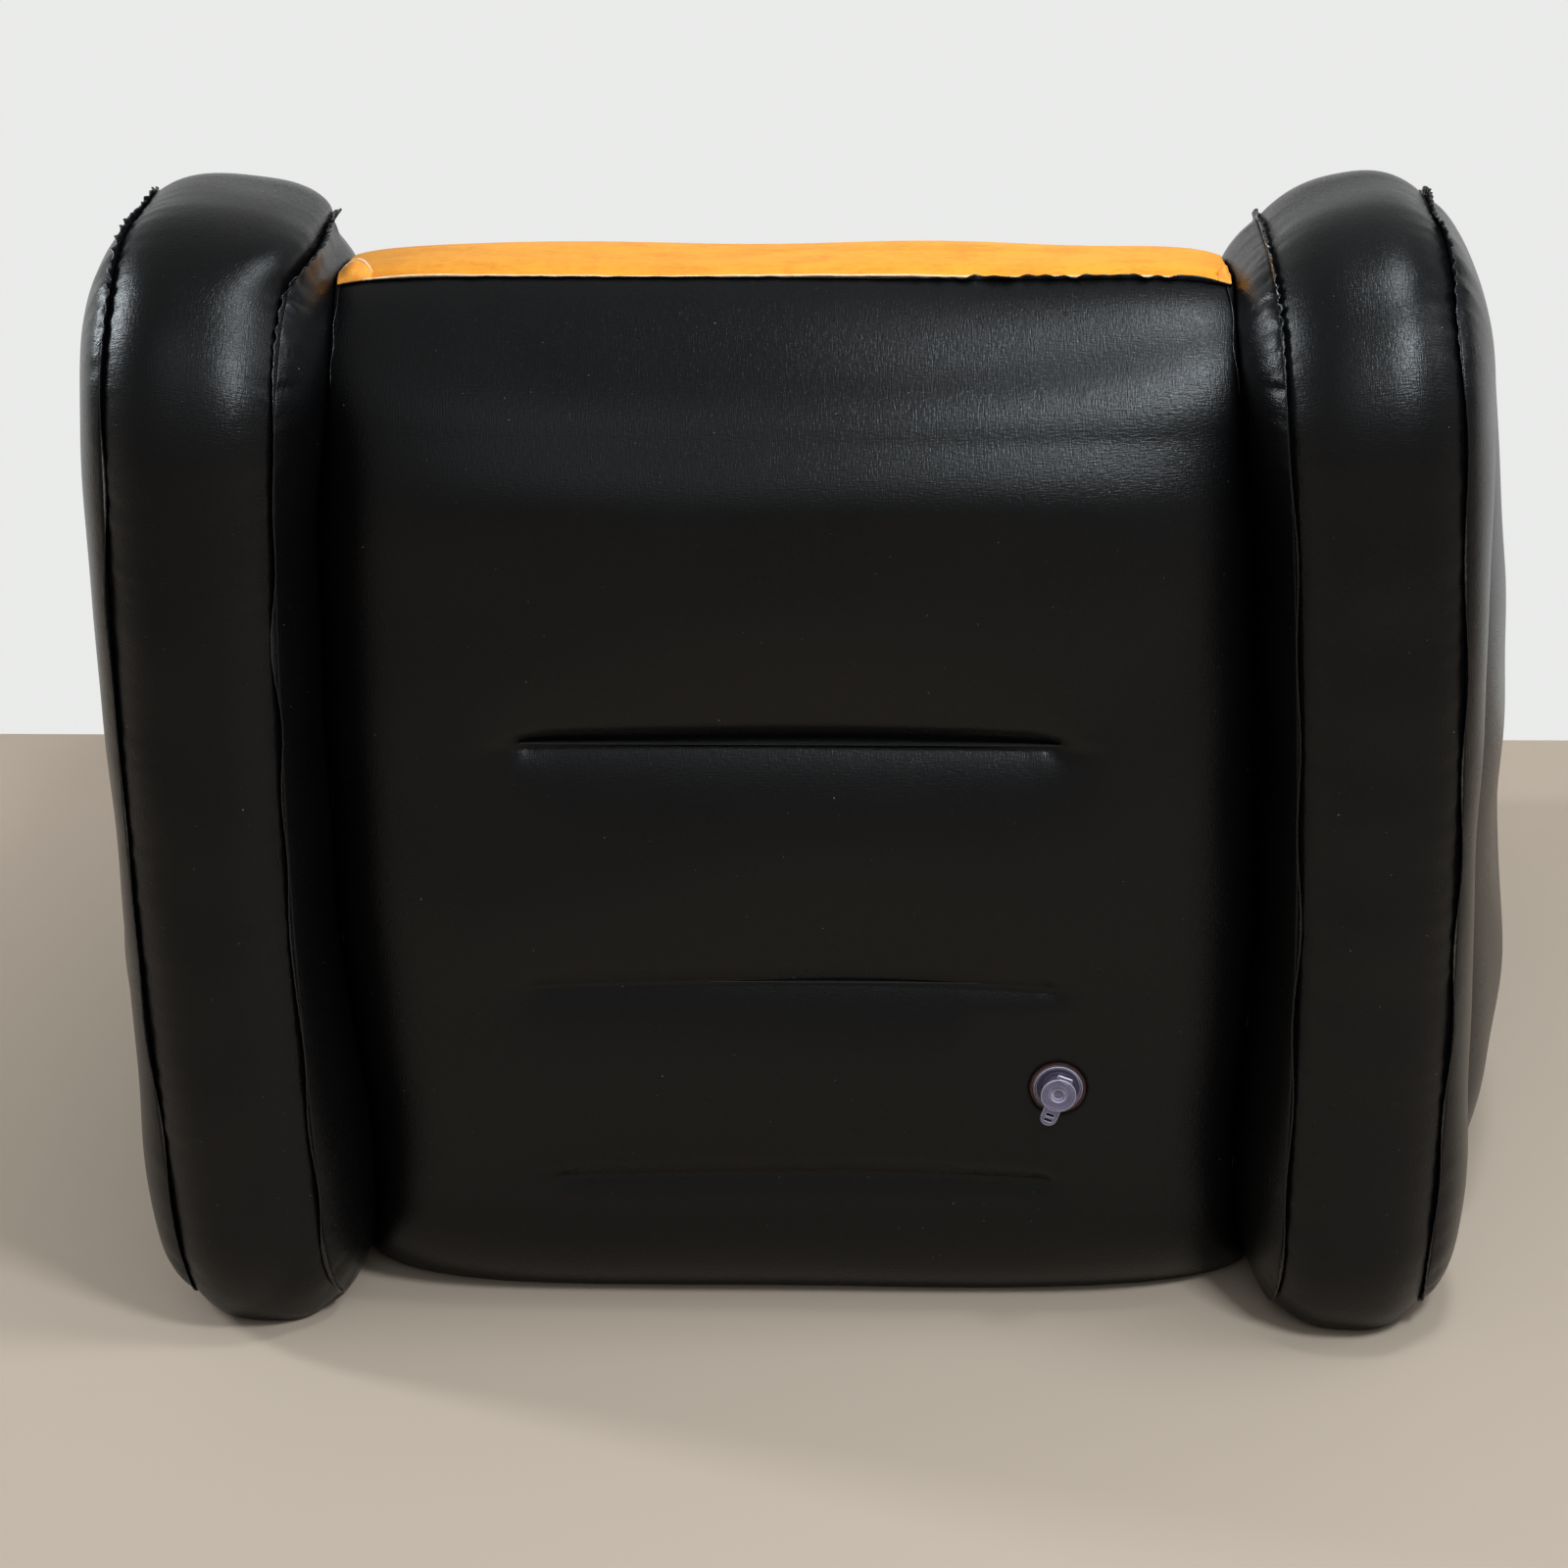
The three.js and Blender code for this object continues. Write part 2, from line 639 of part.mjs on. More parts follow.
function heldBy(flat, edges, grooves) {
  return (i, j) => {
    if (j === 0 || j === ACROSS.length - 1) return 0;
    if (i === 0) return acrossSwell(j, edges.first);
    if (i === flat.length - 1) return acrossSwell(j, edges.last);
    const groove = grooves.find((g) => g.row === i);
    return groove && inGroove(ACROSS[j]) ? groove.swell : undefined;
  };
}

function rowNearest(stations, distanceTo) {
  const distances = stations.map(({ point }) => distanceTo(point));
  return distances.indexOf(Math.min(...distances));
}

const backStations = bodyStations.slice(bodyRearBottom.first, topSeamStation + 1);
const backGrooveRows = backGrooves.map((groove) => ({
  ...groove,
  row: rowNearest(backStations, (p) => Math.abs(p.y - groove.height) + Math.abs(p.x - bodyRearY)),
}));
const valveRow = rowNearest(backStations, (p) => Math.abs(p.y - valveHeight) + Math.abs(p.x - bodyRearY));
const valveColumn = ACROSS.indexOf(Math.sign(valveX) * GROOVE_HALF_SHARE);

function backPanelGrid() {
  const flat = flatBody(backStations);
  const held = heldBy(flat, { first: 0, last: topSeamSwell }, backGrooveRows);
  const swollen = inflate(backStations, flat, held, backSwell);
  const faceY = swollen[valveRow][valveColumn].y;
  const grid = swollen.map((row) =>
    row.map((p) => {
      const away = Math.max(Math.abs(p.x - valveX), Math.abs(p.z - valveHeight));
      const share = 1 - smooth((away - flatHalfWidth - clearance) / flatBlendWidth);
      return v3(p.x, THREE.MathUtils.lerp(p.y, faceY, share), p.z);
    }),
  );
  return { grid, faceY };
}

const { grid: backGrid, faceY: valveFaceY } = backPanelGrid();

const backrestStations = bodyStations.slice(topSeamStation, creaseStation + 1);
const seatStations = bodyStations.slice(creaseStation, bodyFrontBottom.last + 1);
const seatGrooveRows = seatGrooves.map((groove) => ({
  ...groove,
  row: rowNearest(seatStations, (p) => Math.abs(p.x - groove.y) + Math.abs(p.y - seatHeight)),
}));

const backrestFlat = flatBody(backrestStations);
const backrestGrid = inflate(
  backrestStations,
  backrestFlat,
  heldBy(backrestFlat, { first: topSeamSwell, last: creaseSwell }, []),
  backrestSwell,
);
const seatFlat = flatBody(seatStations);
const seatGrid = inflate(
  seatStations,
  seatFlat,
  heldBy(seatFlat, { first: creaseSwell, last: 0 }, seatGrooveRows),
  seatSwell,
);

const chamberX = chamberLength / 2;
const sideTools = () => [1, -1].map((mirror) => beyondInnerPanel(clearance, chamberX, mirror));

// Geometries of the valve are turned about the z axis, which becomes the valve's axis.
function turned(profile) {
  const points = [...profile, profile[0]].map(([radius, height]) => v2(radius, height));
  const lathe = new THREE.LatheGeometry(points, VALVE_SEGMENTS);
  lathe.rotateX(Math.PI / 2);
  return lathe;
}

function valvePlace(group) {
  const across = THREE.MathUtils.degToRad(STRAP_DIRECTION_DEG);
  const strap = v3(-Math.cos(across), 0, Math.sin(across));
  const axis = v3(0, 1, 0);
  const side = axis.clone().cross(strap);
  group.matrix.makeBasis(strap, side, axis).setPosition(valveX, valveFaceY, valveHeight);
  group.matrix.decompose(group.position, group.quaternion, group.scale);
}

function backPanelGeometry() {
  const grid = pullBack(backGrid, backGrid.length - 1, backGrid.length - 2, edgeFromSeam);
  const hole = new THREE.CylinderGeometry(valveHoleRadius, valveHoleRadius, backSwell, VALVE_SEGMENTS);
  hole.translate(valveX, valveFaceY, valveHeight);
  return cut(sheet(grid, filmThickness, v3(0, 1, 0)), ...sideTools(), hole);
}

function flockedBackrestGeometry() {
  const last = backrestGrid.length - 1;
  const grid = pullBack(pullBack(backrestGrid, 0, 1, edgeFromSeam), last, last - 1, clearance);
  return cut(sheet(grid, flockedThickness, v3(0, -1, 1)), ...sideTools());
}

function flockedSeatGeometry() {
  const grid = pullBack(seatGrid, 0, 1, clearance);
  return cut(sheet(grid, flockedThickness, v3(0, 0, 1)), ...sideTools());
}

function bottomPanelGeometry() {
  const rearY = backStations[0].point.x - clearance;
  const frontY = seatStations[seatStations.length - 1].point.x + clearance;
  const halfWidth = innerSeamX(0);
  const grid = [rearY, frontY].map((y) => [-1, 1].map((side) => v3(side * halfWidth, y, 0)));
  return cut(sheet(grid, filmThickness, v3(0, 0, -1)), ...sideTools());
}

// The weld flange between the back panel and the flocked panel.
function topSeamGeometry() {
  const row = backGrid[backGrid.length - 1];
  const { out } = bodyStations[topSeamStation];
  const along = v3(0, -out.y, out.x);
  const face = (side) =>
    row.map((p) =>
      [-filmThickness, topSeamHeight].map((rise) =>
        p
          .clone()
          .add(v3(0, out.x * rise, out.y * rise))
          .addScaledVector(along, (side * seamThickness) / 2),
      ),
    );
  return cut(solidBetween(face(1), face(-1)), ...sideTools());
}

// The wall between the backrest chamber and the seat chamber.
const dividerTopZ = bodyStations[creaseStation].point.y - flockedThickness - 2 * clearance;
const dividerTopY = bodyStations[creaseStation].point.x;
const dividerFootY = dividerTopY + dividerLeanRun;
const dividerFootZ = filmThickness + clearance;
const dividerLean = (dividerTopY - dividerFootY) / (dividerTopZ - dividerFootZ);
const dividerY = (z) => dividerFootY + (z - dividerFootZ) * dividerLean;

function dividerGeometry() {
  const grid = [dividerTopZ, dividerFootZ].map((z) =>
    [-1, 1].map((side) => v3(side * gussetMiddle, dividerY(z), z)),
  );
  return cut(sheet(grid, filmThickness, v3(0, 1, 0)), ...sideTools());
}

// A strip from a weld groove of the back panel to the divider: level, or down to the divider's top.
function backTieGeometry(groove) {
  const rear = grooveColumns.map((j) => {
    const p = backGrid[groove.row][j];
    return v3(p.x, p.y - filmThickness - clearance, p.z);
  });
  const front = rear.map((p) => {
    const z = Math.min(p.z, dividerTopZ - backTieDrop);
    return v3(p.x, dividerY(z) + clearance, z);
  });
  return sheet([rear, front], filmThickness, v3(0, 0, 1));
}

// An upright strip from the bottom panel to a weld groove of the seat.
function seatTieGeometry(groove) {
  const top = grooveColumns.map((j) => {
    const p = seatGrid[groove.row][j];
    return v3(p.x, p.y, p.z - flockedThickness - clearance);
  });
  const foot = top.map((p) => v3(p.x, p.y, filmThickness + clearance));
  return sheet([top, foot], filmThickness, v3(0, 1, 0));
}

// Air valve, in its own frame: x towards the strap, z out of the back panel

const flangeTop = -filmThickness - clearance;
const flangeBottom = flangeTop - flangeThickness;

function valveFlangeGeometry() {
  return turned([
    [ringInnerRadius, flangeBottom],
    [flangeRadius, flangeBottom],
    [flangeRadius, flangeTop],
    [ringOuterRadius, flangeTop],
    [ringOuterRadius, ringHeight],
    [ringInnerRadius, ringHeight],
  ]);
}

// The soft stepped cone that lets the stem be pushed in.
function valveBellowsGeometry() {
  const bottom = ringHeight + clearance;
  const topOuterRadius = bellowsTopRadius + bellowsWall;
  const radius = (share) => THREE.MathUtils.lerp(ringOuterRadius, topOuterRadius, share);
  const height = (share) => THREE.MathUtils.lerp(bottom, bottom + bellowsHeight, share);
  const outer = [];
  for (let k = 0; k < BELLOWS_STEPS; k++) {
    outer.push([radius(k / BELLOWS_STEPS), height(k / BELLOWS_STEPS)]);
    outer.push([radius((k + LEAN_SHARE) / BELLOWS_STEPS), height((k + RISER_SHARE) / BELLOWS_STEPS)]);
  }
  outer.push([topOuterRadius, bottom + bellowsHeight]);
  const inner = outer.map(([radius, height]) => [radius - bellowsWall, height - bellowsWall / 2]);
  inner[0][1] = bottom;
  return turned([...outer, ...inner.reverse()]);
}

function valveStemGeometry() {
  const tube = turned([
    [throatRadius, stemBottom],
    [stemRadius, stemBottom],
    [stemRadius, stemTop],
    [boreRadius, stemTop],
    [boreRadius, stemBottom + throatLength],
    [throatRadius, stemBottom + throatLength],
  ]);
  const lugTop = stemTop - clearance;
  const lugEnd = hingeReach - clearance;
  const lugStart = stemRadius - lugThickness;
  const strapLug = new THREE.BoxGeometry(lugEnd - lugStart, strapWidth, lugThickness);
  strapLug.translate((lugEnd + lugStart) / 2, 0, lugTop - lugThickness / 2);
  return join(tube, strapLug);
}

// The pull tab and the strap are one flat outline, as far as the hinge line, with two grip slots.
function stopperGeometry() {
  const underside = stemTop + clearance;
  const cap = turned([
    [0, underside - plugLength],
    [plugEndRadius, underside - plugLength],
    [plugTopRadius, underside],
    [stopperRadius, underside],
    [stopperRadius, underside + stopperThickness],
    [dimpleRadius, underside + stopperThickness],
    [dimpleRadius - dimpleFloor / 2, underside - plugLength + dimpleFloor],
    [0, underside - plugLength + dimpleFloor],
  ]);
  const tab = new THREE.Shape();
  const tabCentre = tabReach - tabWidth / 2;
  tab.moveTo(-plugTopRadius, tabWidth / 2);
  tab.absarc(-tabCentre, 0, tabWidth / 2, Math.PI / 2, (3 * Math.PI) / 2, false);
  tab.lineTo(-plugTopRadius, -tabWidth / 2);
  const tabPlate = new THREE.ExtrudeGeometry(tab, {
    depth: tabThickness,
    bevelEnabled: false,
    curveSegments: 8,
  });
  tabPlate.translate(0, 0, underside);
  const strapStart = plugTopRadius;
  const strap = new THREE.BoxGeometry(hingeReach - strapStart, strapWidth, strapThickness);
  strap.translate((hingeReach + strapStart) / 2, 0, underside + strapThickness / 2);
  const slots = [-1, 1].map((side) => {
    const slot = new THREE.BoxGeometry(tabSlotWidth, tabSlotLength, tabThickness + 2 * trimOverrun);
    return slot.translate(-tabCentre + (side * tabSlotPitch) / 2, 0, underside);
  });
  return cut(join(cap, tabPlate, strap), ...slots);
}

function valveFlapGeometry() {
  const top = stemBottom - clearance;
  const disc = turned([
    [0, top - flapThickness],
    [flapRadius, top - flapThickness],
    [flapRadius, top],
    [0, top],
  ]);
  const tongueStart = throatRadius;
  const tongue = new THREE.BoxGeometry(flapHingeReach - tongueStart, flapHingeWidth, flapThickness);
  tongue.translate((flapHingeReach + tongueStart) / 2, 0, top - flapThickness / 2);
  return join(disc, tongue);
}

// Assembly

const chair = new THREE.Group();

function add(parent, name, geometry, material) {
  const mesh = new THREE.Mesh(geometry, material);
  mesh.name = name;
  parent.add(mesh);
}

for (const [side, mirror] of [["left", 1], ["right", -1]]) {
  const chamber = new THREE.Group();
  chamber.scale.x = mirror;
  add(chamber, `${side}_outer_side_panel`, sheet(outerGrid, filmThickness, awayFromSeat), blackFilm);
  add(chamber, `${side}_inner_side_panel`, sheet(innerGrid, filmThickness, towardSeat), blackFilm);
  add(chamber, `${side}_gusset_strip`, gussetGeometry(), blackFilm);
  add(chamber, `${side}_base_strip`, baseStripGeometry(), blackFilm);
  add(chamber, `${side}_outer_seam`, seamGeometry(outerSeamX), weldedEdge);
  add(chamber, `${side}_inner_seam`, seamGeometry(innerSeamX), weldedEdge);
  add(chamber, `${side}_wing_tie`, wingTieGeometry(), innerFilm);
  chair.add(chamber);
}

add(chair, "back_panel", backPanelGeometry(), blackFilm);
add(chair, "flocked_backrest_panel", flockedBackrestGeometry(), orangeFlock);
add(chair, "flocked_seat_panel", flockedSeatGeometry(), orangeFlock);
add(chair, "bottom_panel", bottomPanelGeometry(), blackFilm);
add(chair, "back_top_seam", topSeamGeometry(), weldedEdge);
add(chair, "chamber_divider", dividerGeometry(), innerFilm);
for (const groove of backGrooveRows) {
  add(chair, `${groove.name}_back_tie`, backTieGeometry(groove), innerFilm);
}
for (const groove of seatGrooveRows) {
  add(chair, `${groove.name}_seat_tie`, seatTieGeometry(groove), innerFilm);
}

const valve = new THREE.Group();
valvePlace(valve);
add(valve, "valve_flange", valveFlangeGeometry(), clearSoftPlastic);
add(valve, "valve_bellows", valveBellowsGeometry(), clearSoftPlastic);
add(valve, "valve_stem", valveStemGeometry(), clearSoftPlastic);
add(valve, "valve_stopper", stopperGeometry(), clearSoftPlastic);
add(valve, "valve_flap", valveFlapGeometry(), clearSoftPlastic);
chair.add(valve);

export default chair;
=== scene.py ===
# The looks of the inflatable sofa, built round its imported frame.
# Metres, +Z up. The seat faces -Y, and the camera stands behind the back, at +Y.
import json
import math

import bmesh
import bpy
import numpy as np
from mathutils import Matrix, Vector


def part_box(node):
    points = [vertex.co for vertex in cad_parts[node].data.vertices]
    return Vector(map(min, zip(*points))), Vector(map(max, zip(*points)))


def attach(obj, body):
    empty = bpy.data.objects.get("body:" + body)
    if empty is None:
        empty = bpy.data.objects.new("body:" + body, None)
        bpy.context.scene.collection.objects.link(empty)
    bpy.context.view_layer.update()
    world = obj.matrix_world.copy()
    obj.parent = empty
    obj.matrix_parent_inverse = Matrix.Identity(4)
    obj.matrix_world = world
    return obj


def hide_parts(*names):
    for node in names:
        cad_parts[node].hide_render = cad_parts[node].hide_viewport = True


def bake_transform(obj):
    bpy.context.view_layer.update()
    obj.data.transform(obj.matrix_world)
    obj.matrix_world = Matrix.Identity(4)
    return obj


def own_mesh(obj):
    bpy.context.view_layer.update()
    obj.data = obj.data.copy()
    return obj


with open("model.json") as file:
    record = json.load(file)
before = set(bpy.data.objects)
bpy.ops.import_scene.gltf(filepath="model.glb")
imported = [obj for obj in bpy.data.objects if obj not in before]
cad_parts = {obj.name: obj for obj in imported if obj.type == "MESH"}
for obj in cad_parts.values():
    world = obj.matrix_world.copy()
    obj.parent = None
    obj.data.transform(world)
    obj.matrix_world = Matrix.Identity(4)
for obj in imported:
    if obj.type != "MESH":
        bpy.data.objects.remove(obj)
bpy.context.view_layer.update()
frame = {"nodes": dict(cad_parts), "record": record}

# Side outline of a side chamber, along its weld seams
chamber_length = 0.996
wing_height = 0.748
arm_height = 0.478
wing_rake = 0.022
wing_depth = 0.250
sweep_run = 0.165
rear_bottom_radius = 0.080
wing_rear_radius = 0.125
wing_front_radius = 0.100
sweep_radius = 0.260
arm_front_radius = 0.190
front_bottom_radius = 0.095

# Gusset strip and swell of the side panels
gusset_foot_width = 0.102
gusset_top_width = 0.114
gusset_middle = 0.381
gusset_bow = 0.014
gusset_crown = 0.023
CROWN_POWER = 2.8
crown_fade_height = 0.020
outer_swell = 0.076
inner_swell = 0.038
valley_swell = 0.016
OUTER_FOOT_FULLNESS_SHARE = 0.75
INNER_FOOT_FULLNESS_SHARE = 1.3
INNER_CREST_FULLNESS_SHARE = 1.6
foot_fade_height = 0.300
crest_fade_height = 0.180

# How the inflated sofa leans: to the left with height, outer seams up, the left wing's top inwards
LEAN_SHARE = 0.0192
outer_seam_lift = 0.016
lift_start, lift_end = 0.320, 0.450
lift_foot, lift_top = 0.480, 0.730
left_top_tuck = 0.020
tuck_foot, tuck_top = 0.731, 0.762
tuck_inner_start, tuck_inner_run = 0.262, 0.03
tuck_outer_start, tuck_outer_run = 0.36, 0.08

# Section of the backrest and seat, and the swell of their panels
body_rear_inset = 0.076
backrest_rake = 0.017
body_top_drop = 0.030
backrest_top_depth = 0.162
backrest_foot_depth = 0.302
seat_height = 0.395
seat_front_inset = 0.046
body_rear_bottom_radius = 0.090
backrest_top_radius = 0.080
crease_radius = 0.025
seat_front_radius = 0.085
body_front_bottom_radius = 0.070
TOP_SEAM_SHARE = 0.8
back_swell = 0.066
backrest_swell = 0.042
seat_swell = 0.038
top_seam_swell = 0.016
top_fade_height = 0.120
crease_swell = 0.005

# Weld grooves of the back, each as its shares of the height, of the swell and of the depth
BACK_GROOVES = ((0.6, 0.7, 1.0), (0.357, 0.71, 0.5), (0.148, 0.58, 0.42))
SEAT_GROOVE_SHARES = (0.26, 0.525, 0.785)
SEAT_GROOVE_SWELL_SHARE = 0.53
SEAT_GROOVE_DEPTH_SHARE = 0.1
GROOVE_HALF_SHARE = 0.58
groove_depth = 0.0075
groove_band, groove_shoulder_below = 0.0155, 0.018
groove_arch, groove_arch_reach = 0.0045, 0.050
groove_fade_start, groove_fade_run = 0.040, 0.065
groove_end_beyond = 0.010
GROOVE_END_BAND_SHARE = 0.35
ray_start, ray_width, ray_reach, ray_height = 0.022, 0.0045, 0.016, 0.0013
ray_rise_start, ray_rise = 0.004, 0.006

# The creases that spread from a groove's end, each as its slope and its share of the height
RAYS = ((0.5, 1.0), (-0.7, 1.0), (-1.7, 0.7))

# Valve places, from the frame
bellows_low, bellows_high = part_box("valve_bellows")
stem_depth = 0.0034
valve_x = (bellows_low.x + bellows_high.x) / 2
valve_z = (bellows_low.z + bellows_high.z) / 2
valve_face_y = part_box("valve_stem")[0].y + stem_depth
flat_half_width, flat_blend_width = 0.036, 0.040
hole_radius = 0.0196
HOLE_STEPS, WARP_STEPS = 6, 14

# Film, welds, and the creases and ripples beside a weld
film_thickness = 0.0004
flock_thickness = 0.0008
seam_thickness = 0.0009
seam_height = 0.0066
seam_overlap = 0.0002
edge_softness = 0.009
crease_widths = (0.0016, 0.0042)
crease_reaches = (0.005, 0.019)
CREASE_HEIGHTS = (0.25, 1.0)
CREASE_LEAN = 0.7
CREASE_SPACING_SHARES = (0.35, 1.3)
RIDGE_SHARE, RIDGE_PLACE = 0.45, 1.7
ripple_lengths = (0.014, 0.05)
RIPPLE_WAVES = 14

# Numbers of points
ARC_POINTS = 64
SIDE_COLUMNS, SIDE_ROWS = 230, 150
GUSSET_STATIONS, GUSSET_COLUMNS = 720, 37
BODY_COLUMNS = 171
BACK_ROWS, BACKREST_ROWS, SEAT_ROWS = 261, 150, 240
TINY = 1e-12


def unit(v):
    return v / np.linalg.norm(v)


def smooth(share):
    t = np.clip(share, 0, 1)
    return t * t * (3 - 2 * t)


def between(s, start, end, ease, end_ease=None):
    """1 between start and end, easing to 0 at both."""
    return smooth((s - start) / ease) * smooth((end - s) / (end_ease or ease))


def lerp(a, b, share):
    return a + (b - a) * share


def stacked(*parts):
    """Coordinates side by side, each brought to the same shape."""
    return np.stack(np.broadcast_arrays(*parts), -1)


def eased(count, ease=0.5):
    """Shares from 0 to 1 with shorter steps at both ends."""
    t = np.linspace(0, 1, count)
    return t - ease * np.sin(2 * math.pi * t) / (2 * math.pi)


class Outline:
    """A closed outline in the YZ plane, counterclockwise seen from +X, with rounded corners."""

    def __init__(self, corners):
        points, normals, ends = [], [], []
        for i, (y, z, radius) in enumerate(corners):
            here = np.array((y, z))
            along = unit(here - np.array(corners[i - 1][:2]))
            onward = unit(np.array(corners[(i + 1) % len(corners)][:2]) - here)
            turn = math.atan2(along[0] * onward[1] - along[1] * onward[0], along @ onward)
            start = here - along * radius * math.tan(abs(turn) / 2)
            centre = start + math.copysign(radius, turn) * np.array((-along[1], along[0]))
            first = len(points)
            for angle in np.linspace(0, turn, ARC_POINTS):
                c, s = math.cos(angle), math.sin(angle)
                spin = np.array(((c, -s), (s, c)))
                points.append(centre + spin @ (start - centre))
                normals.append(spin @ np.array((along[1], -along[0])))
            ends.append((first, len(points) - 1))
        self.points = np.array(points + points[:1])
        self.normals = np.array(normals + normals[:1])
        steps = np.linalg.norm(np.diff(self.points, axis=0), axis=1)
        self.lengths = np.concatenate(([0], np.cumsum(steps)))
        self.total = self.lengths[-1]
        self.first = [self.lengths[a] for a, _ in ends]
        self.last = [self.lengths[b] for _, b in ends]

    def middle(self, corner):
        return (self.first[corner] + self.last[corner]) / 2

    def at(self, places):
        """Points and outward normals at lengths along the outline."""
        s = np.asarray(places) % self.total
        found = []
        for values in (self.points, self.normals):
            found.append(np.stack([np.interp(s, self.lengths, values[:, k]) for k in (0, 1)], -1))
        return found


def membrane(points, held, load):
    """Solves the equation of an evenly loaded membrane on a grid, with some of its nodes held."""
    free = np.isnan(held)
    value = np.where(free, 0, held)
    up = np.linalg.norm(points[1:-1, 1:-1] - points[:-2, 1:-1], axis=2)
    down = np.linalg.norm(points[2:, 1:-1] - points[1:-1, 1:-1], axis=2)
    left = np.linalg.norm(points[1:-1, 1:-1] - points[1:-1, :-2], axis=2)
    right = np.linalg.norm(points[1:-1, 2:] - points[1:-1, 1:-1], axis=2)
    w = [2 / ((up + down) * up), 2 / ((up + down) * down)]
    w += [2 / ((left + right) * left), 2 / ((left + right) * right)]
    total = w[0] + w[1] + w[2] + w[3]
    rows, columns = held.shape
    parity = np.add.outer(np.arange(1, rows - 1), np.arange(1, columns - 1)) % 2
    inner = value[1:-1, 1:-1]
    masks = [free[1:-1, 1:-1] & (parity == k) for k in (0, 1)]
    over_relaxation = 2 / (1 + math.sin(math.pi / max(rows, columns)))
    sweeps = 5 * max(rows, columns)
    for _ in range(sweeps):
        for mask in masks:
            pull = w[0] * value[:-2, 1:-1] + w[1] * value[2:, 1:-1]
            pull += w[2] * value[1:-1, :-2] + w[3] * value[1:-1, 2:]
            step = (pull + load) / total - inner
            inner[mask] += over_relaxation * step[mask]
    return value


def swell_of(points, held, peak, softness=0.0):
    """How far an inflated panel swells: the square of the swell is a membrane, scaled to the peak."""
    free = np.isnan(held)
    hung = membrane(points, held**2, 0)
    loaded = membrane(points, np.where(free, np.nan, 0), 1)
    some = loaded > TINY
    load = np.min((peak**2 - hung[some]) / loaded[some])
    square = np.maximum(0, hung + load * loaded)
    soft = np.sqrt(square + softness**2) - softness
    return soft * peak / (math.sqrt(peak**2 + softness**2) - softness)


def normals_of(points):
    cross = np.cross(np.gradient(points, axis=0), np.gradient(points, axis=1))
    return cross / np.maximum(np.linalg.norm(cross, axis=2, keepdims=True), TINY)


def waves(s, shortest, longest, count, seed, across=None):
    """A smooth random wave of about unit height along s, or over the plane of s and across."""
    rng = np.random.default_rng(seed)
    found = np.zeros_like(s)
    for _ in range(count):
        length = shortest * (longest / shortest) ** rng.random()
        way = s
        if across is not None:
            angle = rng.random() * math.pi
            way = s * math.cos(angle) + across * math.sin(angle)
        found += np.sin(2 * math.pi * (way / length + rng.random()))
    return found / math.sqrt(count / 2)


def puckers(s, distance, strength, spacing, seed, total):
    """Short creases square to a weld seam: s runs along the seam, distance leads away from it.
    Each is a narrow furrow with a lower ridge beside it."""
    rng = np.random.default_rng(seed)
    depth = np.zeros_like(s)
    place = 0.0
    while place < total:
        place += spacing * (CREASE_SPACING_SHARES[0] + CREASE_SPACING_SHARES[1] * rng.random())
        width = lerp(*crease_widths, rng.random())
        reach_out = lerp(*crease_reaches, rng.random() ** 2)
        height = lerp(*CREASE_HEIGHTS, rng.random() ** 2)
        lean = (rng.random() - 0.5) * CREASE_LEAN
        along = (s - place - lean * distance) / width
        near = np.abs(along) < 4
        shape = np.exp(-along[near] ** 2) - RIDGE_SHARE * np.exp(-((along[near] - RIDGE_PLACE) ** 2))
        depth[near] += height * shape * np.exp(-((distance[near] / reach_out) ** 1.5))
    return -depth * strength


def ripples(s, distance, reach_out, seed):
    """Small waves along a weld, which fade out at a distance from it."""
    return waves(s, *ripple_lengths, RIPPLE_WAVES, seed) * np.exp(-distance / reach_out)


# Meshes


def smooth_mesh(name, vertices, faces, uvs=None):
    mesh = bpy.data.meshes.new(name)
    mesh.from_pydata([tuple(v) for v in vertices], [], faces)
    if uvs is not None:
        layer = mesh.uv_layers.new(name="film")
        corners = np.array([loop.vertex_index for loop in mesh.loops])
        layer.data.foreach_set("uv", np.asarray(uvs, np.float32)[corners].ravel())
    mesh.polygons.foreach_set("use_smooth", [True] * len(mesh.polygons))
    mesh.update()
    piece = bpy.data.objects.new(name, mesh)
    bpy.context.scene.collection.objects.link(piece)
    return piece


def fix_normals(piece):
    made = bmesh.new()
    made.from_mesh(piece.data)
    bmesh.ops.recalc_face_normals(made, faces=made.faces)
    made.to_mesh(piece.data)
    made.free()


def thicken(piece, thickness, offset):
    solid = piece.modifiers.new("thickness", "SOLIDIFY")
    solid.thickness = thickness
    solid.offset = offset


def grid_faces(rows, columns, keep=None, flip=False):
    index = np.arange(rows * columns).reshape(rows, columns)
    quads = np.stack((index[:-1, :-1], index[1:, :-1], index[1:, 1:], index[:-1, 1:]), -1)
    quads = quads.reshape(-1, 4) if keep is None else quads[keep]
    return quads[:, ::-1] if flip else quads


def leaned(points):
    """Where the inflated sofa's lean takes a point. The valve stays."""
    found = points.copy()
    x, z = points[..., 0], points[..., 2]
    away = smooth((np.abs(x) - lift_start) / (lift_end - lift_start))
    high = smooth((z - lift_foot) / (lift_top - lift_foot))
    beside = smooth((x - tuck_inner_start) / tuck_inner_run)
    beside *= 1 - smooth((x - tuck_outer_start) / tuck_outer_run)
    found[..., 0] += LEAN_SHARE * (z - valve_z)
    found[..., 0] -= left_top_tuck * beside * smooth((z - tuck_foot) / (tuck_top - tuck_foot))
    found[..., 2] += outer_seam_lift * away * high
    return found


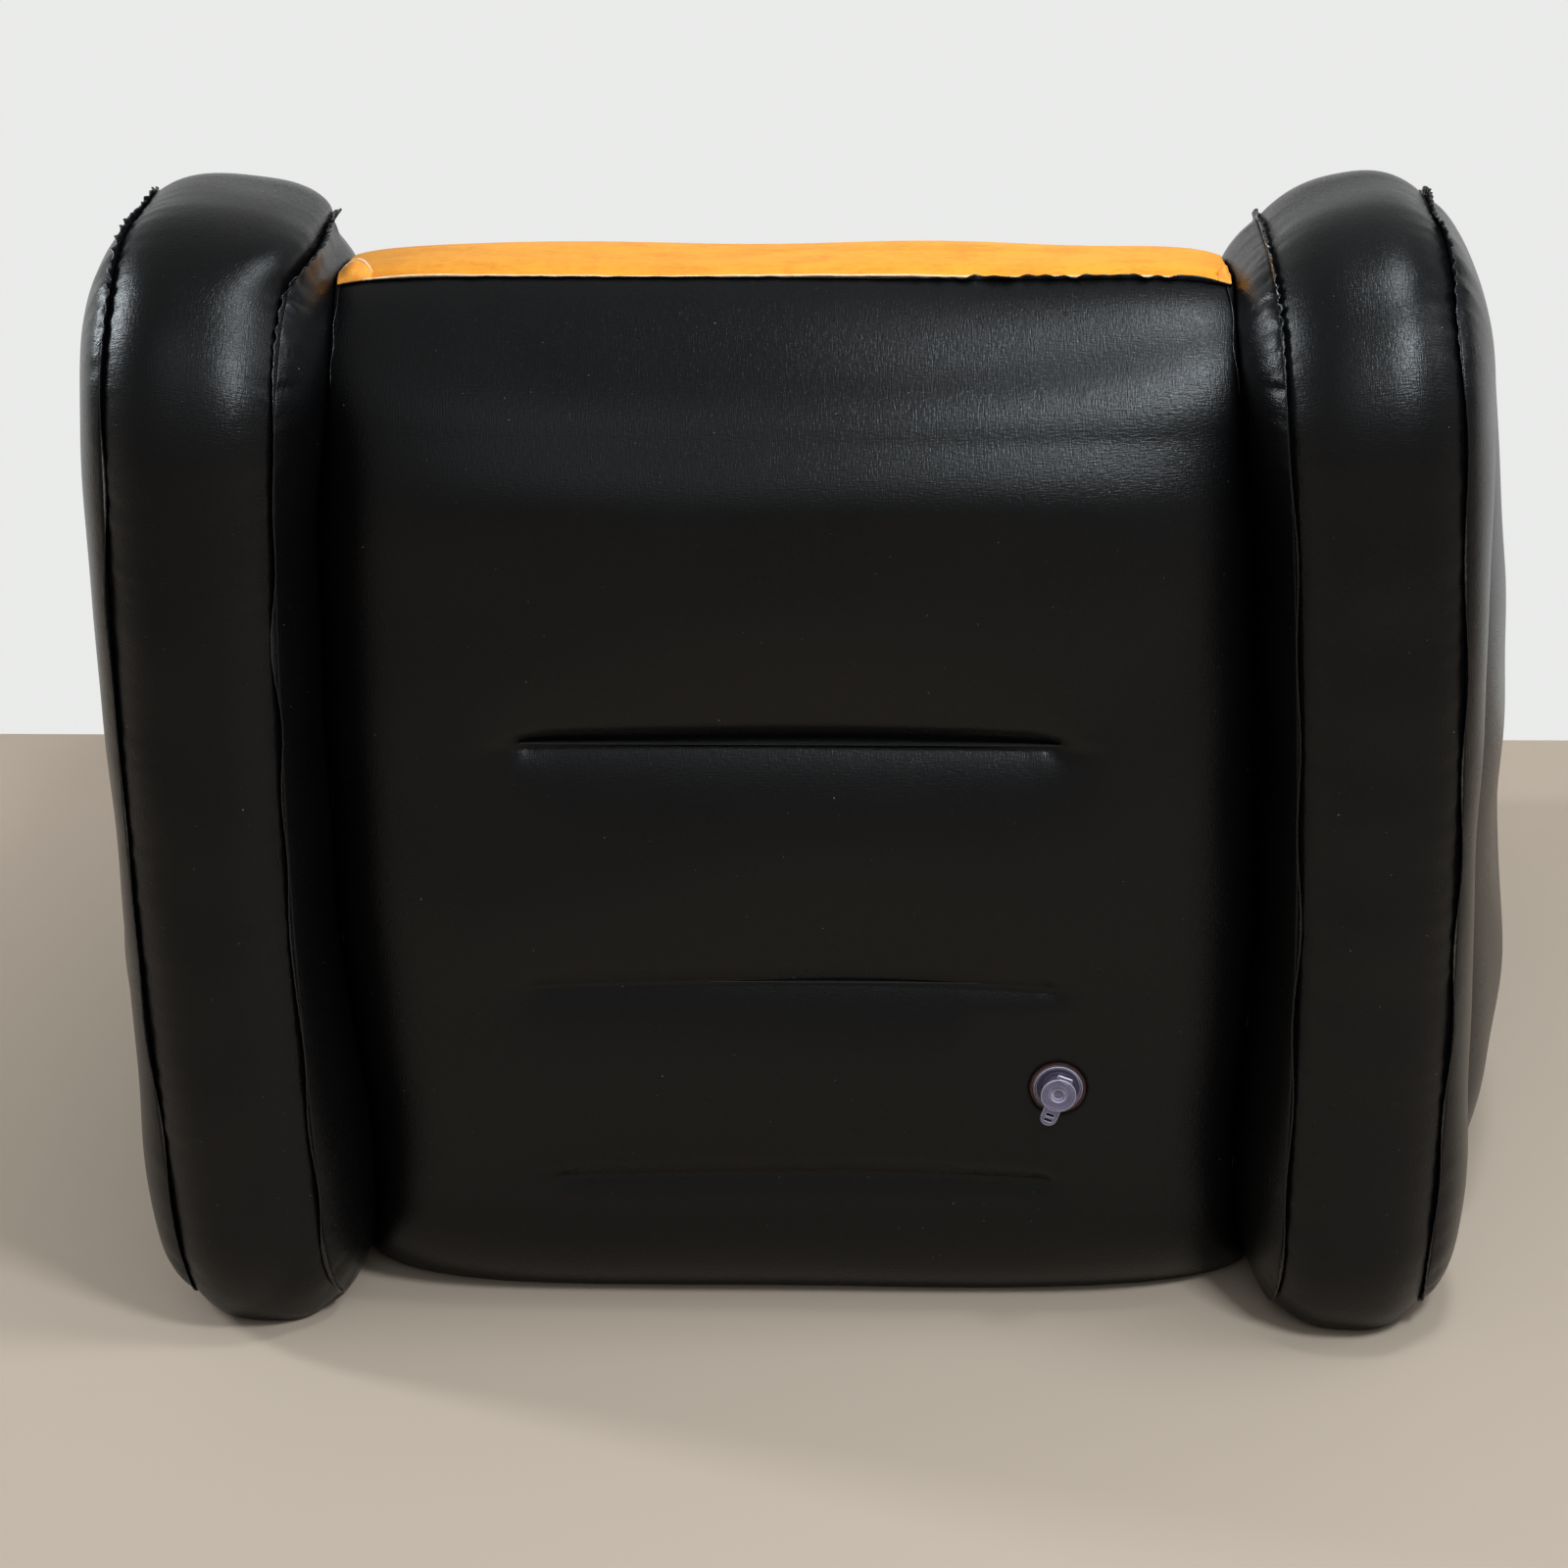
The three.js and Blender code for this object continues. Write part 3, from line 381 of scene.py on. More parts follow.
def film_sheet(name, points, uvs, outward, thickness, keep=None):
    """A sheet of film whose outer face is the grid, less the faces that aren't kept."""
    points = leaned(points)
    rows, columns = points.shape[:2]
    middle = normals_of(points)[rows // 2, columns // 2]
    flip = float(middle @ np.array(outward)) < 0
    faces = grid_faces(rows, columns, keep, flip)
    used, faces = np.unique(faces, return_inverse=True)
    faces = faces.reshape(-1, 4).tolist()
    piece = smooth_mesh(name, points.reshape(-1, 3)[used], faces, uvs.reshape(-1, 2)[used])
    thicken(piece, thickness, -1)
    return piece


def closed_tube(name, rings):
    """A closed solid from rings of points, one after the other, with flat ends."""
    count, sides = rings.shape[:2]
    faces = []
    for i in range(count - 1):
        for k in range(sides):
            n = (k + 1) % sides
            faces.append((i * sides + k, i * sides + n, (i + 1) * sides + n, (i + 1) * sides + k))
    faces.append(tuple(range(sides - 1, -1, -1)))
    faces.append(tuple((count - 1) * sides + k for k in range(sides)))
    piece = smooth_mesh(name, leaned(rings).reshape(-1, 3), faces)
    fix_normals(piece)
    return piece


FIN_LEVELS = 4
FIN_TOP_SHARE = 0.7


def fin(name, root, top, sideways):
    """A thin fin of weld from a row of root points to a row of top points, thinner at the top."""
    up = []
    for side in (1, -1):
        rows = []
        for share in np.arange(FIN_LEVELS) / (FIN_LEVELS - 1):
            half = seam_thickness / 2 * lerp(1, FIN_TOP_SHARE, share)
            rows.append(lerp(root, top, share) + side * half * sideways)
        up.append(rows)
    return closed_tube(name, np.stack(up[0] + up[1][::-1], 1))


BEAD_SIDES = 8
BEAD_END_STEPS = 6
BEAD_TIP_SHARE = 0.1


def bead(name, path, radius, material):
    """A thin round line of weld along a path, tapered at its ends."""
    ahead = np.gradient(path, axis=0)
    ahead /= np.linalg.norm(ahead, axis=1, keepdims=True)
    across = np.cross(ahead, np.array((1.0, 0.3, 0.2)))
    across /= np.linalg.norm(across, axis=1, keepdims=True)
    upright = np.cross(ahead, across)
    turn = np.arange(BEAD_SIDES) * 2 * math.pi / BEAD_SIDES
    steps = np.arange(len(path))
    ends = lerp(BEAD_TIP_SHARE, 1, smooth(np.minimum(steps, steps[::-1]) / BEAD_END_STEPS))
    spokes = across[:, None] * np.cos(turn)[None, :, None] + upright[:, None] * np.sin(turn)[None, :, None]
    piece = closed_tube(name, path[:, None] + spokes * (radius * ends)[:, None, None])
    return finish_piece(piece, material)


def resampled(path, spacing):
    """A path with even steps, and the length to each of its points."""
    steps = np.linalg.norm(np.diff(path, axis=0), axis=1)
    lengths = np.concatenate(([0], np.cumsum(steps)))
    fine = np.linspace(0, lengths[-1], max(2, int(lengths[-1] / spacing)))
    return np.stack([np.interp(fine, lengths, path[:, k]) for k in range(3)], -1), fine


def finish_piece(piece, material, body="chair", replaces=(), edge=None):
    """Gives a piece its material, a second one for its edges and its body."""
    piece.data.materials.append(material)
    if edge:
        piece.data.materials.append(edge)
    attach(piece, body)
    if replaces:
        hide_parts(*replaces)
    return piece


# Materials


class Nodes:
    """Short names for building a node tree."""

    def __init__(self, name):
        self.material = bpy.data.materials.new(name)
        self.material.use_nodes = True
        self.tree = self.material.node_tree
        self.shader = self.tree.nodes["Principled BSDF"]

    def set(self, node, socket, value):
        target = node.inputs[socket]
        if isinstance(value, bpy.types.NodeSocket):
            self.tree.links.new(value, target)
        else:
            target.default_value = value

    def add(self, kind, settings=None, **sockets):
        node = self.tree.nodes.new(kind)
        for key, value in (settings or {}).items():
            setattr(node, key, value)
        for key, value in sockets.items():
            self.set(node, key.replace("_", " "), value)
        return node

    def finished(self, **sockets):
        """The material, with these sockets of its shader set or linked."""
        for key, value in sockets.items():
            self.set(self.shader, key.replace("_", " "), value)
        return self.material

    def math(self, operation, a, b):
        node = self.add("ShaderNodeMath", {"operation": operation})
        self.set(node, 0, a)
        self.set(node, 1, b)
        return node.outputs[0]

    def scaled(self, value, factor, offset):
        return self.math("ADD", self.math("MULTIPLY", value, factor), offset)

    def ramp(self, source, stops):
        node = self.add("ShaderNodeValToRGB", Fac=source)
        elements = node.color_ramp.elements
        elements[0].position, elements[0].color = stops[0]
        elements[1].position, elements[1].color = stops[-1]
        for position, color in stops[1:-1]:
            elements.new(position).color = color
        return node.outputs["Color"]

    def grain(self, place, per_metre, detail, roughness):
        """Noise with so many waves per metre in each direction."""
        stretched = self.add("ShaderNodeMapping", Vector=place, Scale=per_metre).outputs["Vector"]
        settings = {"Vector": stretched, "Scale": 1.0, "Detail": detail, "Roughness": roughness}
        return self.add("ShaderNodeTexNoise", **settings).outputs["Fac"]

    def bump(self, height, strength, distance):
        node = self.add("ShaderNodeBump", Strength=strength, Distance=distance, Height=height)
        return node.outputs["Normal"]

    def film_place(self):
        return self.add("ShaderNodeUVMap", {"uv_map": "film"}).outputs["UV"]

    def object_place(self):
        return self.add("ShaderNodeTexCoord").outputs["Object"]


def gray(value):
    return (value, value, value, 1)


def shade(color, *factors):
    """A colour times a factor, or times one for each channel, with full alpha."""
    factors = factors * 3 if len(factors) == 1 else factors
    return (*[min(1, c * factor) for c, factor in zip(color, factors)], 1)


def film_material(name, base, roughness, weave):
    """Soft black film, embossed like linen, with a little dust."""
    threads_per_m, slubs_per_m = 1000, 170
    gloss_change = 0.10
    dust_share, dust_color = 0.35, (0.45, 0.44, 0.42, 1)
    n = Nodes(name)
    place = n.film_place()
    across = n.grain(place, (slubs_per_m, threads_per_m, 1), 2.0, 0.6)
    along = n.grain(place, (threads_per_m, slubs_per_m, 1), 2.0, 0.6)
    linen = n.math("ADD", across, along)
    cloud = n.grain(place, (9, 9, 1), 3.0, 0.55)
    specks = n.grain(place, (420, 420, 1), 1.0, 0.5)
    dust = n.ramp(specks, [(0.0, gray(0)), (0.795, gray(0)), (0.815, gray(1))])
    rough = n.scaled(cloud, gloss_change, roughness - gloss_change / 2)
    tone = n.ramp(cloud, [(0.3, shade(base, 0.85)), (0.7, shade(base, 1.15))])
    color = n.add("ShaderNodeMix", {"data_type": "RGBA"})
    n.set(color, 0, n.math("MULTIPLY", dust, dust_share))
    n.set(color, 6, tone)
    n.set(color, 7, dust_color)
    return n.finished(
        Base_Color=color.outputs[2],
        Roughness=n.math("ADD", rough, n.math("MULTIPLY", linen, gloss_change)),
        Normal=n.bump(linen, weave, 0.0004),
        Specular_IOR_Level=0.26,
    )


def flock_material(name, base):
    """Short dense pile on film: soft sheen, fine grain and brushed patches."""
    n = Nodes(name)
    place = n.film_place()
    pile = n.grain(place, (2300, 2300, 1), 2.0, 0.7)
    brushed = n.grain(place, (22, 60, 1), 4.0, 0.65)
    fine = n.grain(place, (160, 240, 1), 3.0, 0.6)
    mix = n.math("ADD", n.math("MULTIPLY", brushed, 0.65), n.math("MULTIPLY", fine, 0.35))
    dark, light = shade(base, 0.80, 0.66, 0.5), shade(base, 1.06, 1.16, 1.3)
    return n.finished(
        Base_Color=n.ramp(mix, [(0.32, dark), (0.52, shade(base, 1)), (0.72, light)]),
        Roughness=n.scaled(pile, 0.15, 0.8),
        Sheen_Weight=0.35,
        Sheen_Roughness=0.4,
        Sheen_Tint=(1.0, 0.72, 0.4, 1),
        Specular_IOR_Level=0.2,
        Normal=n.bump(pile, 0.35, 0.0006),
    )


def edge_material(name, base, roughness):
    """A cut or welded edge of film, uneven in colour and gloss."""
    gloss_change = 0.3
    n = Nodes(name)
    uneven = n.grain(n.object_place(), (180, 180, 180), 3.0, 0.6)
    return n.finished(
        Base_Color=n.ramp(uneven, [(0.3, shade(base, 1)), (0.75, shade(base, 1.5))]),
        Roughness=n.scaled(uneven, gloss_change, roughness - gloss_change / 2),
        Normal=n.bump(uneven, 0.5, 0.0008),
    )


def clear_material(name, tint, alpha_low, alpha_high, roughness):
    """Clear soft plastic: tinted, glossy, and denser towards its edges."""
    gloss_change = 0.1
    n = Nodes(name)
    uneven = n.grain(n.object_place(), (120, 120, 120), 2.0, 0.5)
    edge = n.add("ShaderNodeLayerWeight", Blend=0.35).outputs["Facing"]
    return n.finished(
        Alpha=n.scaled(edge, alpha_high - alpha_low, alpha_low),
        Base_Color=n.ramp(uneven, [(0.35, shade(tint, 0.8)), (0.65, shade(tint, 1))]),
        Roughness=n.scaled(uneven, gloss_change, roughness - gloss_change / 2),
        Normal=n.bump(uneven, 0.05, 0.0003),
        IOR=1.45,
        Coat_Weight=0.25,
        Coat_Roughness=0.08,
    )


black_film = film_material("black_film", (0.0016, 0.0016, 0.0018), 0.20, 0.60)
orange_flock = flock_material("orange_flock", (0.86, 0.32, 0.020))
welded_edge = edge_material("welded_edge", (0.004, 0.004, 0.005), 0.26)
pale_edge = edge_material("pale_edge", (0.85, 0.50, 0.28), 0.5)
fold_flock = edge_material("fold_flock", (0.80, 0.27, 0.03), 0.8)
inner_film = edge_material("inner_film", (0.012, 0.012, 0.013), 0.45)
clear_plastic = clear_material("clear_plastic", (0.17, 0.14, 0.24), 0.11, 0.55, 0.10)
stopper_plastic = clear_material("stopper_plastic", (0.27, 0.25, 0.40), 0.40, 0.85, 0.14)
# Painted highlight: the valve's rims, bevelled edges, hinge rib and web get this pale, nearly opaque
# plastic, which paints the bright glints along their edges
painted_highlight_rim = clear_material("painted_highlight_rim", (0.82, 0.78, 0.88), 0.62, 0.95, 0.12)
weld_ring_plastic = clear_material("weld_ring_plastic", (0.060, 0.014, 0.009), 0.65, 0.90, 0.25)

# What the nodes that still show get, by the slot of the record
node_materials = {
    "black_film": inner_film,
    "orange_flock": orange_flock,
    "welded_edge": welded_edge,
    "inner_film": inner_film,
    "clear_plastic": clear_plastic,
}

# Side chambers

half_length = chamber_length / 2
wing_rear_y = half_length - wing_rake
wing_front_y = wing_rear_y - wing_depth
REAR_BOTTOM, WING_REAR, WING_FRONT, SWEEP, ARM_FRONT, FRONT_BOTTOM = range(6)
chamber = Outline(
    [
        (half_length, 0, rear_bottom_radius),
        (wing_rear_y, wing_height, wing_rear_radius),
        (wing_front_y, wing_height, wing_front_radius),
        (wing_front_y - sweep_run, arm_height, sweep_radius),
        (-half_length, arm_height, arm_front_radius),
        (-half_length, 0, front_bottom_radius),
    ]
)
gusset_start = chamber.first[REAR_BOTTOM]
gusset_end = chamber.last[FRONT_BOTTOM]


def gusset_centre_x(z):
    share = z / wing_height
    return gusset_middle + gusset_bow * 4 * share * (1 - share)


def gusset_width(z):
    return lerp(gusset_foot_width, gusset_top_width, z / wing_height)


def seam_x(z, side):
    """The x of the outer (+1) or inner (-1) weld seam of the left chamber."""
    return gusset_centre_x(z) + side * gusset_width(z) / 2


# Each bend of the outline: its puckers' strength, how far they go past it, and how fast they fade
BENDS = {
    WING_REAR: (1.0, 0.05, 0.08),
    WING_FRONT: (1.0, 0.05, 0.08),
    ARM_FRONT: (0.9, 0.05, 0.08),
    REAR_BOTTOM: (0.8, 0.04, 0.06),
    FRONT_BOTTOM: (0.8, 0.04, 0.06),
}
STRAIGHT_STRENGTH = 0.35


def bend_strength(s):
    """Puckers are strong where a flat panel's edge bends round a corner, and weak elsewhere."""
    found = np.full_like(s, STRAIGHT_STRENGTH)
    for corner, (strength, past, fade) in BENDS.items():
        inside = between(s, chamber.first[corner] - past, chamber.last[corner] + past, fade)
        found = np.maximum(found, strength * inside)
    return found


def side_layout():
    """The side outline filled with a grid: the first index runs front along the top, the second up."""
    u, v = eased(SIDE_COLUMNS), eased(SIDE_ROWS)
    rear = chamber.at(lerp(chamber.middle(REAR_BOTTOM), chamber.middle(WING_REAR), v))[0]
    top = chamber.at(lerp(chamber.middle(WING_REAR), chamber.middle(ARM_FRONT), u))[0]
    front = chamber.at(lerp(chamber.middle(FRONT_BOTTOM), chamber.middle(ARM_FRONT), v))[0]
    end = chamber.middle(FRONT_BOTTOM) - chamber.total
    base = chamber.at(lerp(chamber.middle(REAR_BOTTOM), end, u))[0]
    u, v = u[:, None, None], v[None, :, None]
    corners = (1 - u) * (1 - v) * base[0] + u * (1 - v) * base[-1] + (1 - u) * v * top[0] + u * v * top[-1]
    edges = base[:, None] * (1 - v) + top[:, None] * v + rear[None] * (1 - u) + front[None] * u
    return edges - corners


def nearest_on_outline(points):
    """Distance to the outline and the place along it, for each point."""
    places = np.arange(0, chamber.total, 0.002)
    targets = chamber.at(places)[0]
    flat = points.reshape(-1, 2)
    distance, where = [], []
    for part in np.array_split(flat, len(flat) // 3000):
        gaps = ((part[:, None] - targets[None]) ** 2).sum(2)
        best = gaps.argmin(1)
        distance.append(np.sqrt(gaps.min(1)))
        where.append(places[best])
    shape = points.shape[:2]
    return np.concatenate(distance).reshape(shape), np.concatenate(where).reshape(shape)


layout = side_layout()
edge_distance, edge_place = nearest_on_outline(layout)
edge_strength = bend_strength(edge_place)

crease_strength, crease_spacing = 0.0016, 0.017
ripple_height, ripple_reach, ripple_rise = 0.0005, 0.014, 0.003
buckle_height, buckle_lengths, buckle_rise = 0.0009, (0.09, 0.30), 0.05
seam_grip = 0.0012
VALLEY_COLUMN_GUESS = 40


def valley_nodes():
    """The grid column of the outer panel's weld valley, as far as its tie strip reaches."""
    low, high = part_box("left_wing_tie")
    middle_y, middle_z = (low.y + high.y) / 2, (low.z + high.z) / 2
    row = int(np.abs(layout[VALLEY_COLUMN_GUESS, :, 1] - middle_z).argmin())
    column = int(np.abs(layout[: SIDE_COLUMNS // 2, row, 0] - middle_y).argmin())
    heights = layout[column, :, 1]
    return column, (heights > low.z) & (heights < high.z)


def side_panel(side, seed):
    """Grid of the left chamber's outer (+1) or inner (-1) side panel, with its puckers."""
    y, z = layout[..., 0], layout[..., 1]
    flat = np.stack((seam_x(z, side) + side * (seam_thickness / 2 - seam_overlap), y, z), -1)
    held = np.full(y.shape, np.nan)
    held[[0, -1]] = 0
    held[:, [0, -1]] = 0
    foot = 1 - smooth(z / foot_fade_height)
    crest = smooth((z - wing_height + crest_fade_height) / crest_fade_height)
    if side > 0:
        column, tied = valley_nodes()
        held[column, tied] = valley_swell
        fullness = 1 + OUTER_FOOT_FULLNESS_SHARE * foot
        peak = outer_swell
    else:
        fullness = 1 + INNER_FOOT_FULLNESS_SHARE * foot + INNER_CREST_FULLNESS_SHARE * crest
        peak = inner_swell
    swell = swell_of(flat, held, peak, edge_softness) * fullness
    points = flat + stacked(side * swell, 0, 0)
    creases = puckers(
        edge_place, edge_distance, crease_strength * edge_strength, crease_spacing, seed, chamber.total
    )
    ripple = ripples(edge_place, edge_distance, ripple_reach, seed + 1)
    ripple *= 1 - np.exp(-edge_distance / ripple_rise)
    buckle = waves(y, *buckle_lengths, 14, seed + 2, z) * (1 - np.exp(-edge_distance / buckle_rise))
    bump = creases + ripple_height * ripple * edge_strength + buckle_height * buckle
    normals = normals_of(points)
    normals *= np.sign(normals[SIDE_COLUMNS // 2, SIDE_ROWS // 2, 0] * side)
    pinned = 1 - np.exp(-edge_distance / seam_grip)
    points = points + normals * (bump * pinned)[..., None]
    points[..., 2] = np.maximum(points[..., 2], 0)
    return points


inner_surface = side_panel(-1, 31)
outer_surface = side_panel(1, 47)


def reach(y, z):
    """The x of the inner side panel at a place of the side outline, found in its grid's triangles."""
    gaps = (inner_surface[..., 1] - y) ** 2 + (inner_surface[..., 2] - z) ** 2
    i, j = np.unravel_index(gaps.argmin(), gaps.shape)
    best, found = -np.inf, inner_surface[i, j, 0]
    for a in range(max(i - 2, 0), min(i + 2, SIDE_COLUMNS - 1)):
        for b in range(max(j - 2, 0), min(j + 2, SIDE_ROWS - 1)):
            p, q = inner_surface[a, b], inner_surface[a + 1, b]
            r, t = inner_surface[a + 1, b + 1], inner_surface[a, b + 1]
            for p0, p1, p2 in ((p, q, r), (p, r, t)):
                area = (p1[1] - p0[1]) * (p2[2] - p0[2]) - (p2[1] - p0[1]) * (p1[2] - p0[2])
                if abs(area) < TINY:
                    continue
                w1 = ((y - p0[1]) * (p2[2] - p0[2]) - (p2[1] - p0[1]) * (z - p0[2])) / area
                w2 = ((p1[1] - p0[1]) * (z - p0[2]) - (y - p0[1]) * (p1[2] - p0[2])) / area
                least = min(w1, w2, 1 - w1 - w2)
                if least > best:
                    best = least
                    found = p0[0] + w1 * (p1[0] - p0[0]) + w2 * (p2[0] - p0[0])
    return found


GUSSET_ARC_SHARE = 0.94
gusset_crease_height, gusset_crease_spacing = 0.0013, 0.021
gusset_ripple_height, gusset_ripple_reach = 0.0004, 0.012
gusset_grip = 0.0015
gather_past, gather_fade = 0.02, 0.06
gather_height, gather_lengths = 0.0012, (0.022, 0.045)
gusset_wave_height, gusset_wave_lengths = 0.0008, (0.08, 0.25)


def gusset_surface(seed):
    """Grid of a gusset strip: crowned, creased beside both seams, and gathered in the sweep."""
    quarter = math.pi / 2 * GUSSET_ARC_SHARE
    across = np.sin(np.linspace(-1, 1, GUSSET_COLUMNS) * quarter) / math.sin(quarter)
    places = np.linspace(gusset_start, gusset_end, GUSSET_STATIONS)
    s, w = np.meshgrid(places, across, indexing="ij")
    section, out = chamber.at(s)
    y, z = section[..., 0], section[..., 1]
    rise = gusset_crown * (1 - np.abs(w) ** CROWN_POWER) * smooth(z / crown_fade_height)
    half = gusset_width(z) / 2 - seam_thickness / 2 + seam_overlap
    strength = 0.55 * bend_strength(s) + 0.25
    bump = np.zeros_like(w)
    for side in (1, -1):
        distance = half * (1 - side * w)
        height = gusset_crease_height * strength
        creases = puckers(s, distance, height, gusset_crease_spacing, seed + 3 * side, chamber.total)
        ripple = gusset_ripple_height * ripples(s, distance, gusset_ripple_reach, seed + 5 * side)
        bump += (creases + ripple) * (1 - np.exp(-distance / gusset_grip))
    start, end = chamber.first[SWEEP] - gather_past, chamber.last[SWEEP] + gather_past
    gathers = gather_height * between(s, start, end, gather_fade)
    bump += gathers * waves(s + 0.01 * w, *gather_lengths, 8, seed + 11) * (1 - w**2) ** 0.5
    uneven = waves(s, *gusset_wave_lengths, 12, seed + 13, w * half)
    bump += gusset_wave_height * uneven * (1 - w**2)
    lifted = rise + bump
    grid = stacked(gusset_centre_x(z) + w * half, y + out[..., 0] * lifted, z + out[..., 1] * lifted)
    grid[..., 2] = np.maximum(grid[..., 2], 0)
    return grid, np.stack((w * half, s), -1)


flange_margin, flange_step = 0.045, 0.0016
flange_root_depth = 0.0006
end_rise, end_rise_run = 0.004, 0.03
lobe_lengths, curl_lengths, wander_lengths = (0.0075, 0.016), (0.008, 0.018), (0.09, 0.3)
wander = 0.0012
trim_start, trim_past = 0.04, 0.03
trim_rise, trim_fall, trim_front_fade = 0.08, 0.06, 0.06
TRIM_EVEN_SHARE, TRIM_FRONT_SHARE = 0.12, 0.6


def trim_strength(s):
    """The flange is trimmed in small steps over the top of the wing, and evenly elsewhere."""
    start, end = chamber.first[WING_REAR] + trim_start, chamber.last[WING_FRONT] + trim_past
    over_top = between(s, start, end, trim_rise, trim_fall)
    front = between(s, chamber.first[ARM_FRONT], chamber.last[ARM_FRONT], trim_front_fade)
    return lerp(TRIM_EVEN_SHARE, 1, np.maximum(over_top, TRIM_FRONT_SHARE * front))


def seam_rows(side, seed):
    """Root and top points of the weld flange between the gusset strip and a side panel."""
    places = np.arange(gusset_start + flange_margin, gusset_end - flange_margin, flange_step)
    points, out = chamber.at(places)
    from_end = np.minimum(places - places[0], places[-1] - places)
    strength = trim_strength(places)
    lobes = np.tanh(1.2 * waves(places, *lobe_lengths, 14, seed))
    ragged = 0.92 + 0.17 * strength**2 * lobes - 0.32 * (1 - strength)
    height = seam_height * smooth((from_end + end_rise) / end_rise_run) * ragged
    curl = np.tanh(waves(places, *curl_lengths, 12, seed + 1))
    sway = curl * (0.0001 + 0.0013 * strength**2)
    sway += wander * waves(places, *wander_lengths, 6, seed + 2)
    x = seam_x(points[:, 1], side)
    root = np.column_stack((x, points - flange_root_depth * out))
    return root, np.column_stack((x + sway, points + height[:, None] * out))


def build_chamber(name, side):
    mirror = np.array((side, 1, 1))
    for kind, surface, direction in (("outer", outer_surface, 1), ("inner", inner_surface, -1)):
        node = f"{name}_{kind}_side_panel"
        outward = (side * direction, 0, 0)
        piece = film_sheet(f"{node}_film", surface * mirror, layout, outward, film_thickness)
        finish_piece(piece, black_film, replaces=[node])
    grid, uvs = gusset_surface(61 if side > 0 else 83)
    node = f"{name}_gusset_strip"
    piece = film_sheet(f"{node}_film", grid * mirror, uvs, (0, 0, 1), film_thickness)
    finish_piece(piece, black_film, replaces=[node])
    for kind, direction in (("outer", 1), ("inner", -1)):
        root, top = seam_rows(direction, 101 + 7 * direction + 19 * side)
        node = f"{name}_{kind}_seam"
        piece = fin(f"{node}_flange", root * mirror, top * mirror, np.array((1.0, 0, 0)))
        finish_piece(piece, welded_edge, replaces=[node])


build_chamber("left", 1)
build_chamber("right", -1)

# Backrest and seat

body_top = wing_height - body_top_drop
body_rear_y = half_length - body_rear_inset
body_top_rear_y = body_rear_y - backrest_rake
crease_y = body_rear_y - backrest_foot_depth
seat_front_y = seat_front_inset - half_length
BODY_REAR_BOTTOM, TOP_REAR, TOP_FRONT, CREASE, SEAT_FRONT, BODY_FRONT_BOTTOM = range(6)
body = Outline(
    [
        (body_rear_y, 0, body_rear_bottom_radius),
        (body_top_rear_y, body_top, backrest_top_radius),
        (body_top_rear_y - backrest_top_depth, body_top, backrest_top_radius),
        (crease_y, seat_height, crease_radius),
        (seat_front_y, seat_height, seat_front_radius),
        (seat_front_y, 0, body_front_bottom_radius),
    ]
)
back_start = body.first[BODY_REAR_BOTTOM]
top_seam_place = lerp(body.first[TOP_REAR], body.last[TOP_REAR], TOP_SEAM_SHARE)
top_seam_z = body.at([top_seam_place])[0][0, 1]
top_out_y, top_out_z = body.at([top_seam_place])[1][0]
crease_place = body.middle(CREASE)
seat_end = body.last[BODY_FRONT_BOTTOM]
body_shares = 2 * eased(BODY_COLUMNS, 0.6) - 1
side_overlap = 0.0003
side_fade = 0.03
usual_half_width = 0.29
body_wave_height, body_wave_lengths = 0.0010, (0.10, 0.35)


def across_swell(swell):
    """The swell of a held row over the width: full in the middle, and less close to the wings."""
    return swell * np.sqrt(np.maximum(0, 1 - 0.7 * body_shares**10))


def weld_groove(off, x, end_x):
    """The fold at a weld groove: a flat dark band above the weld, a sharp line, and a soft side below.
    It tapers towards its ends, and creases spread from them. off leads up, x along the groove."""
    fade = 1 - smooth((np.abs(x) - end_x + groove_fade_start) / groove_fade_run)
    band = groove_band * lerp(GROOVE_END_BAND_SHARE, 1, fade)
    side_above = np.maximum(0, 1 - off / band)
    depth = groove_depth * fade * np.where(off > 0, side_above, np.exp(off / groove_shoulder_below))
    for side in (1, -1):
        along = side * x - end_x + ray_start
        reach_out = smooth((along + ray_rise_start) / ray_rise) * np.exp(-np.maximum(along, 0) / ray_reach)
        for slope, weight in RAYS:
            ray = (off - slope * along) / ray_width
            depth = depth + ray_height * weight * np.exp(-(ray**2)) * reach_out
    return depth


